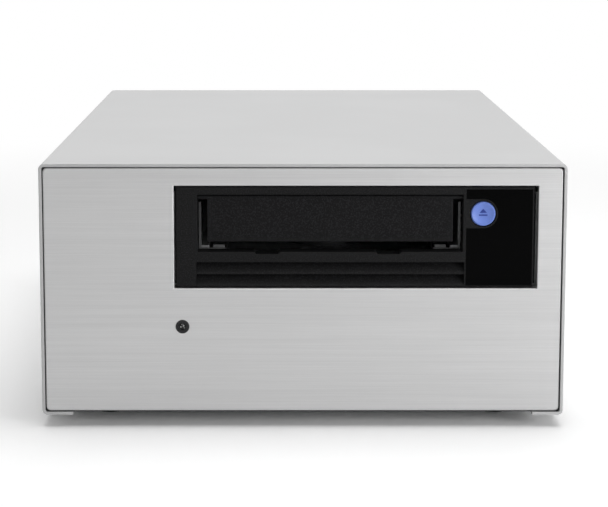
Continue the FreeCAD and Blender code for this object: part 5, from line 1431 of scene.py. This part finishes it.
@dataclass
class LoaderDetail:
    """The tray's lead-in shoes, made lighter to paint the light on them, and the toothed clutch
    under the cartridge, made near black to paint the shade under the door.
    """

    wall: float = 1.1 * MM
    right_inset: float = 4.5 * MM
    rise: float = 1.1 * MM
    width: float = 3.2 * MM
    skin: float = 0.06 * MM
    nose: float = 1.05 * MM
    crest: float = 4.2 * MM
    ramp: float = 7.0 * MM
    reach: float = 14.0 * MM
    teeth: int = 30
    tooth_width: float = 1.25 * MM
    tooth_length: float = 0.34
    tooth_place: float = 0.76
    tooth_taper: float = 0.55
    flange: float = 1.8 * MM
    rim: float = 0.4 * MM
    hub: float = 0.55
    core: float = 0.30

    def build(self, shop: Workshop) -> None:
        """Makes the shoes and the clutch.

        Args:
            shop: The workshop that turns drafts into pieces.
        """
        self.shoes(shop)
        self.clutch(shop)

    def shoes(self, shop: Workshop) -> None:
        """Polished ramps that lead a cartridge into the tray, in a lighter copy of the tray's steel
        that paints the light falling on them.

        Args:
            shop: The workshop that turns drafts into pieces.
        """
        tray = Box.of("cartridge_tray")
        foot, skin = tray.low.z + self.rise, self.skin
        outline = [(-skin, 0.0), (self.reach + skin, 0.0), (self.reach + skin, self.crest + skin),
                   (self.ramp, self.crest + skin), (-skin, self.nose + skin)]
        lefts = (tray.low.x + self.wall, tray.high.x - self.right_inset - self.width - skin)
        for name, left in zip(("left", "right"), lefts):
            draft = Draft()
            draft.prism(outline, 0.0, self.width + skin,
                        Facing.RIGHT.at(Vector((left, tray.low.y, foot))))
            # The shoes get a lighter copy of the tray's steel, which paints the light on the ramps.
            shop.piece(f"lead_in_shoe_{name}", draft, "loader_tray", "tray_steel",
                       edge=0.15 * MM,
                       finish=PlatedSteel("tray_steel", (0.36, 0.365, 0.37), 0.34, 2.5 * MM))

    def clutch(self, shop: Workshop) -> None:
        """A drive clutch, near black to paint the shade under the door: coupling teeth on its face,
        over a flange.

        Args:
            shop: The workshop that turns drafts into pieces.
        """
        box = Box.of("supply_clutch")
        radius, high = box.size.x / 2, box.size.z
        place = Facing.UP.at(Vector((box.centre.x, box.centre.y, box.low.z)))
        draft = Draft()
        inner, hub, core = radius - self.rim, radius * self.hub, radius * self.core
        draft.lathe([(0, 0), (inner, 0), (radius, self.rim), (radius, self.flange - self.rim),
                     (inner, self.flange), (hub, self.flange), (hub, high * 0.6),
                     (core, high * 0.6), (core, high * 0.8), (0, high * 0.8)], place, 60)
        root = self.flange - 0.1 * MM
        for number in range(self.teeth):
            turn = Matrix.Rotation(2 * math.pi * number / self.teeth, 4, "Z")
            seat = Matrix.Translation((radius * self.tooth_place, 0, root))
            draft.prism(rectangle(radius * self.tooth_length, self.tooth_width), 0.0,
                        high - root - 0.05 * MM, place @ turn @ seat, self.tooth_taper)
        # Near black, to paint the shade that lies under the door.
        dark = MouldedPlastic("reel_plastic", (0.020, 0.020, 0.021), 0.45, specular=0.3)
        shop.piece("clutch_teeth", draft, "clutch", "reel_plastic", ("supply_clutch",),
                   finish=dark)


# ------------------------------------------------------------------ rear

@dataclass
class RearFace:
    """Round-wire fan guard, switch marks and the ports' contacts."""

    wire: float = 0.7 * MM
    pitch: float = 6.4 * MM
    wire_sides: int = 12
    rings: int = 4
    arm: float = 25.0 * MM
    mark_place: float = 0.24
    stand_off: float = 5.0 * MM
    bar_width: float = 0.9 * MM
    bar_height: float = 3.4 * MM
    ring_outer: float = 1.75 * MM
    ring_inner: float = 1.15 * MM
    ring_sides: int = 32
    ink_depth: tuple[float, float] = (-0.02 * MM, 0.05 * MM)
    contacts: int = 13
    contact_pitch: float = 1.27 * MM
    tongue_inset: float = 3.0 * MM
    tongue: float = 1.2 * MM
    port_floor: float = 2.0 * MM
    lip: float = 1.2 * MM
    proud: float = 0.05 * MM
    strip_width: float = 0.7 * MM
    strip_thick: float = 0.14 * MM
    lining_seat: float = 0.15 * MM
    lining_thick: float = 0.25 * MM
    lining_inset: float = 2.2 * MM

    def build(self, shop: Workshop) -> None:
        """Makes the rear's own pieces.

        Args:
            shop: The workshop that turns drafts into pieces.
        """
        self.guard(shop)
        self.switch_marks(shop)
        self.port_contacts(shop)

    def guard(self, shop: Workshop) -> None:
        """Welded rings of round wire on four arms that end in eyes.

        Args:
            shop: The workshop that turns drafts into pieces.
        """
        box = Box.of("fan_guard")
        place = Facing.REAR.at(box.centre)
        reach = box.size.x / 2 - self.wire
        round_wire = circle(self.wire, self.wire_sides)
        draft = Draft()
        for number in range(self.rings):
            radius = reach - number * self.pitch
            draft.loop([(radius + u, v) for u, v in round_wire], place, 96)
        inner = reach - (self.rings - 1) * self.pitch
        eye = reach - self.arm
        for turn in range(4):
            angle = math.pi / 4 + turn * math.pi / 2
            far = self.arm * math.sqrt(2) - eye
            ends = [place @ Vector((r * math.cos(angle), r * math.sin(angle), 0))
                    for r in (inner, far)]
            draft.sweep(ends, self.wire, self.wire_sides)
            middle = Matrix.Translation((self.arm * math.sqrt(2) * math.cos(angle),
                                         self.arm * math.sqrt(2) * math.sin(angle), 0))
            draft.loop([(eye + u, v) for u, v in round_wire], place @ middle, 32)
        shop.piece("guard_rings", draft, "enclosure", "guard_wire", ("fan_guard",))

    def switch_marks(self, shop: Workshop) -> None:
        """The usual on and off marks, a bar and a ring, printed on the rocker.

        Args:
            shop: The workshop that turns drafts into pieces.
        """
        box = Box.of("switch_rocker")
        rocker = frame["nodes"]["switch_rocker"]
        draft = Draft()
        rise = box.size.z * self.mark_place
        for height in (rise, -rise):
            start = Vector((box.centre.x, box.high.y + self.stand_off, box.centre.z + height))
            hit, spot, normal, _ = rocker.ray_cast(start, Vector((0, -1, 0)))
            if not hit:
                LOG.warning("no rocker face under a mark")
                continue
            across = Vector((-1, 0, 0))
            up = normal.cross(across)
            place = Matrix.Translation(spot) @ Matrix([across, up, normal]).transposed().to_4x4()
            if height > 0:
                draft.prism(rectangle(self.bar_width, self.bar_height), *self.ink_depth, place)
            else:
                draft.ring(circle(self.ring_outer, self.ring_sides),
                           circle(self.ring_inner, self.ring_sides), *self.ink_depth, place)
        mark_colour = MouldedPlastic("black_plastic", (0.78, 0.78, 0.76), 0.5, dust=0.0)
        shop.piece("switch_marks", draft, "rocker", "black_plastic", finish=mark_colour)

    def port_contacts(self, shop: Workshop) -> None:
        """Gold strips on both faces of each port's tongue, and a dark lining.

        Args:
            shop: The workshop that turns drafts into pieces.
        """
        gold, lining = Draft(), Draft()
        for box in loose_boxes("sas_ports"):
            middle = box.centre.z
            top = box.size.z / 2 - self.tongue_inset * 0.8
            back = box.low.y + self.port_floor
            front = box.high.y - self.lip - self.port_floor
            long = front - back
            for side, level in ((1, middle + top), (-1, middle + top - self.tongue)):
                for number in range(self.contacts):
                    x = box.centre.x + (number - (self.contacts - 1) / 2) * self.contact_pitch
                    gold.brick(Vector((x, back + long * 0.45, level + side * self.proud)),
                               Vector((self.strip_width, long * 0.8, self.strip_thick)))
            lining.brick(Vector((box.centre.x, back + self.lining_seat, middle)),
                         Vector((box.size.x - self.lining_inset, self.lining_thick,
                                 box.size.z - self.lining_inset)))
        shop.piece("port_contacts", gold, "enclosure", "brass_pin")
        shop.piece("port_lining", lining, "enclosure", "black_plastic")


# ------------------------------------------------------------------ inside

@dataclass(frozen=True)
class ChipKind:
    """A packaged chip: its body's lengths and its legs."""

    length: float
    width: float
    height: float
    legs: int


@dataclass
class Boards:
    """Chips with their legs on the circuit boards."""

    LOGIC = ChipKind(18.0 * MM, 18.0 * MM, 2.0 * MM, 16)
    MEMORY = ChipKind(14.0 * MM, 8.0 * MM, 1.6 * MM, 10)
    SMALL = ChipKind(6.0 * MM, 4.0 * MM, 1.4 * MM, 4)
    sink: float = 0.02 * MM

    def build(self, shop: Workshop) -> None:
        """Fits the main board's underside.

        Args:
            shop: The workshop that turns drafts into pieces.
        """
        bodies, legs = Draft(), Draft()
        main = Box.of("main_board")
        layout = ((0.30, 0.35, self.LOGIC), (0.62, 0.30, self.LOGIC), (0.30, 0.62, self.MEMORY),
                  (0.46, 0.62, self.MEMORY), (0.62, 0.62, self.MEMORY), (0.80, 0.55, self.SMALL),
                  (0.80, 0.40, self.SMALL), (0.18, 0.50, self.SMALL))
        for u, v, kind in layout:
            spot = Vector((main.low.x + u * main.size.x, main.low.y + v * main.size.y,
                           main.low.z))
            self.chip(bodies, legs, kind, Facing.DOWN.at(spot))
        shop.piece("board_chips", bodies, "enclosure", "black_plastic", edge=0.15 * MM)
        shop.piece("chip_legs", legs, "enclosure", "port_shell")

    def chip(self, bodies: Draft, legs: Draft, kind: ChipKind, place: Matrix) -> None:
        """Adds one chip.

        Args:
            bodies: The mesh that takes its package.
            legs: The mesh that takes its legs.
            kind: Its sizes.
            place: Its spot on the board, with +Z away from it.
        """
        bodies.prism(rectangle(kind.length, kind.width), 0.15 * MM, kind.height, place, 0.96)
        step = kind.length * 0.88 / kind.legs
        for side in (-1, 1):
            for number in range(kind.legs):
                u = (number - (kind.legs - 1) / 2) * step
                out = side * (kind.width / 2 + 0.45 * MM)
                spot = place @ Matrix.Translation((u, out, 0))
                legs.prism(rectangle(step * 0.45, 1.1 * MM), -self.sink, 0.28 * MM, spot)


# ------------------------------------------------------------------ main

def write_sizes(low_cad: Vector, high_cad: Vector) -> None:
    """Updates the view layer; no box is written.

    Args:
        low_cad: Lowest corner of the CAD model; not used.
        high_cad: Highest corner of the CAD model; not used.
    """
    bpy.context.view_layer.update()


def main() -> None:
    """Builds the studio and dresses each sub-assembly in order."""
    logging.basicConfig(level=logging.INFO, format="%(name)s: %(message)s")
    Studio().build()
    finishes = FinishBook()
    finishes.dress_cad(frame["record"])
    shop = Workshop(finishes)
    for assembly in (Fasteners(), DriveFace(), PanelTrim(), LoaderDetail(), RearFace(),
                     Boards()):
        assembly.build(shop)
    write_sizes(*CAD_BOX)


if __name__ == "__main__":
    main()
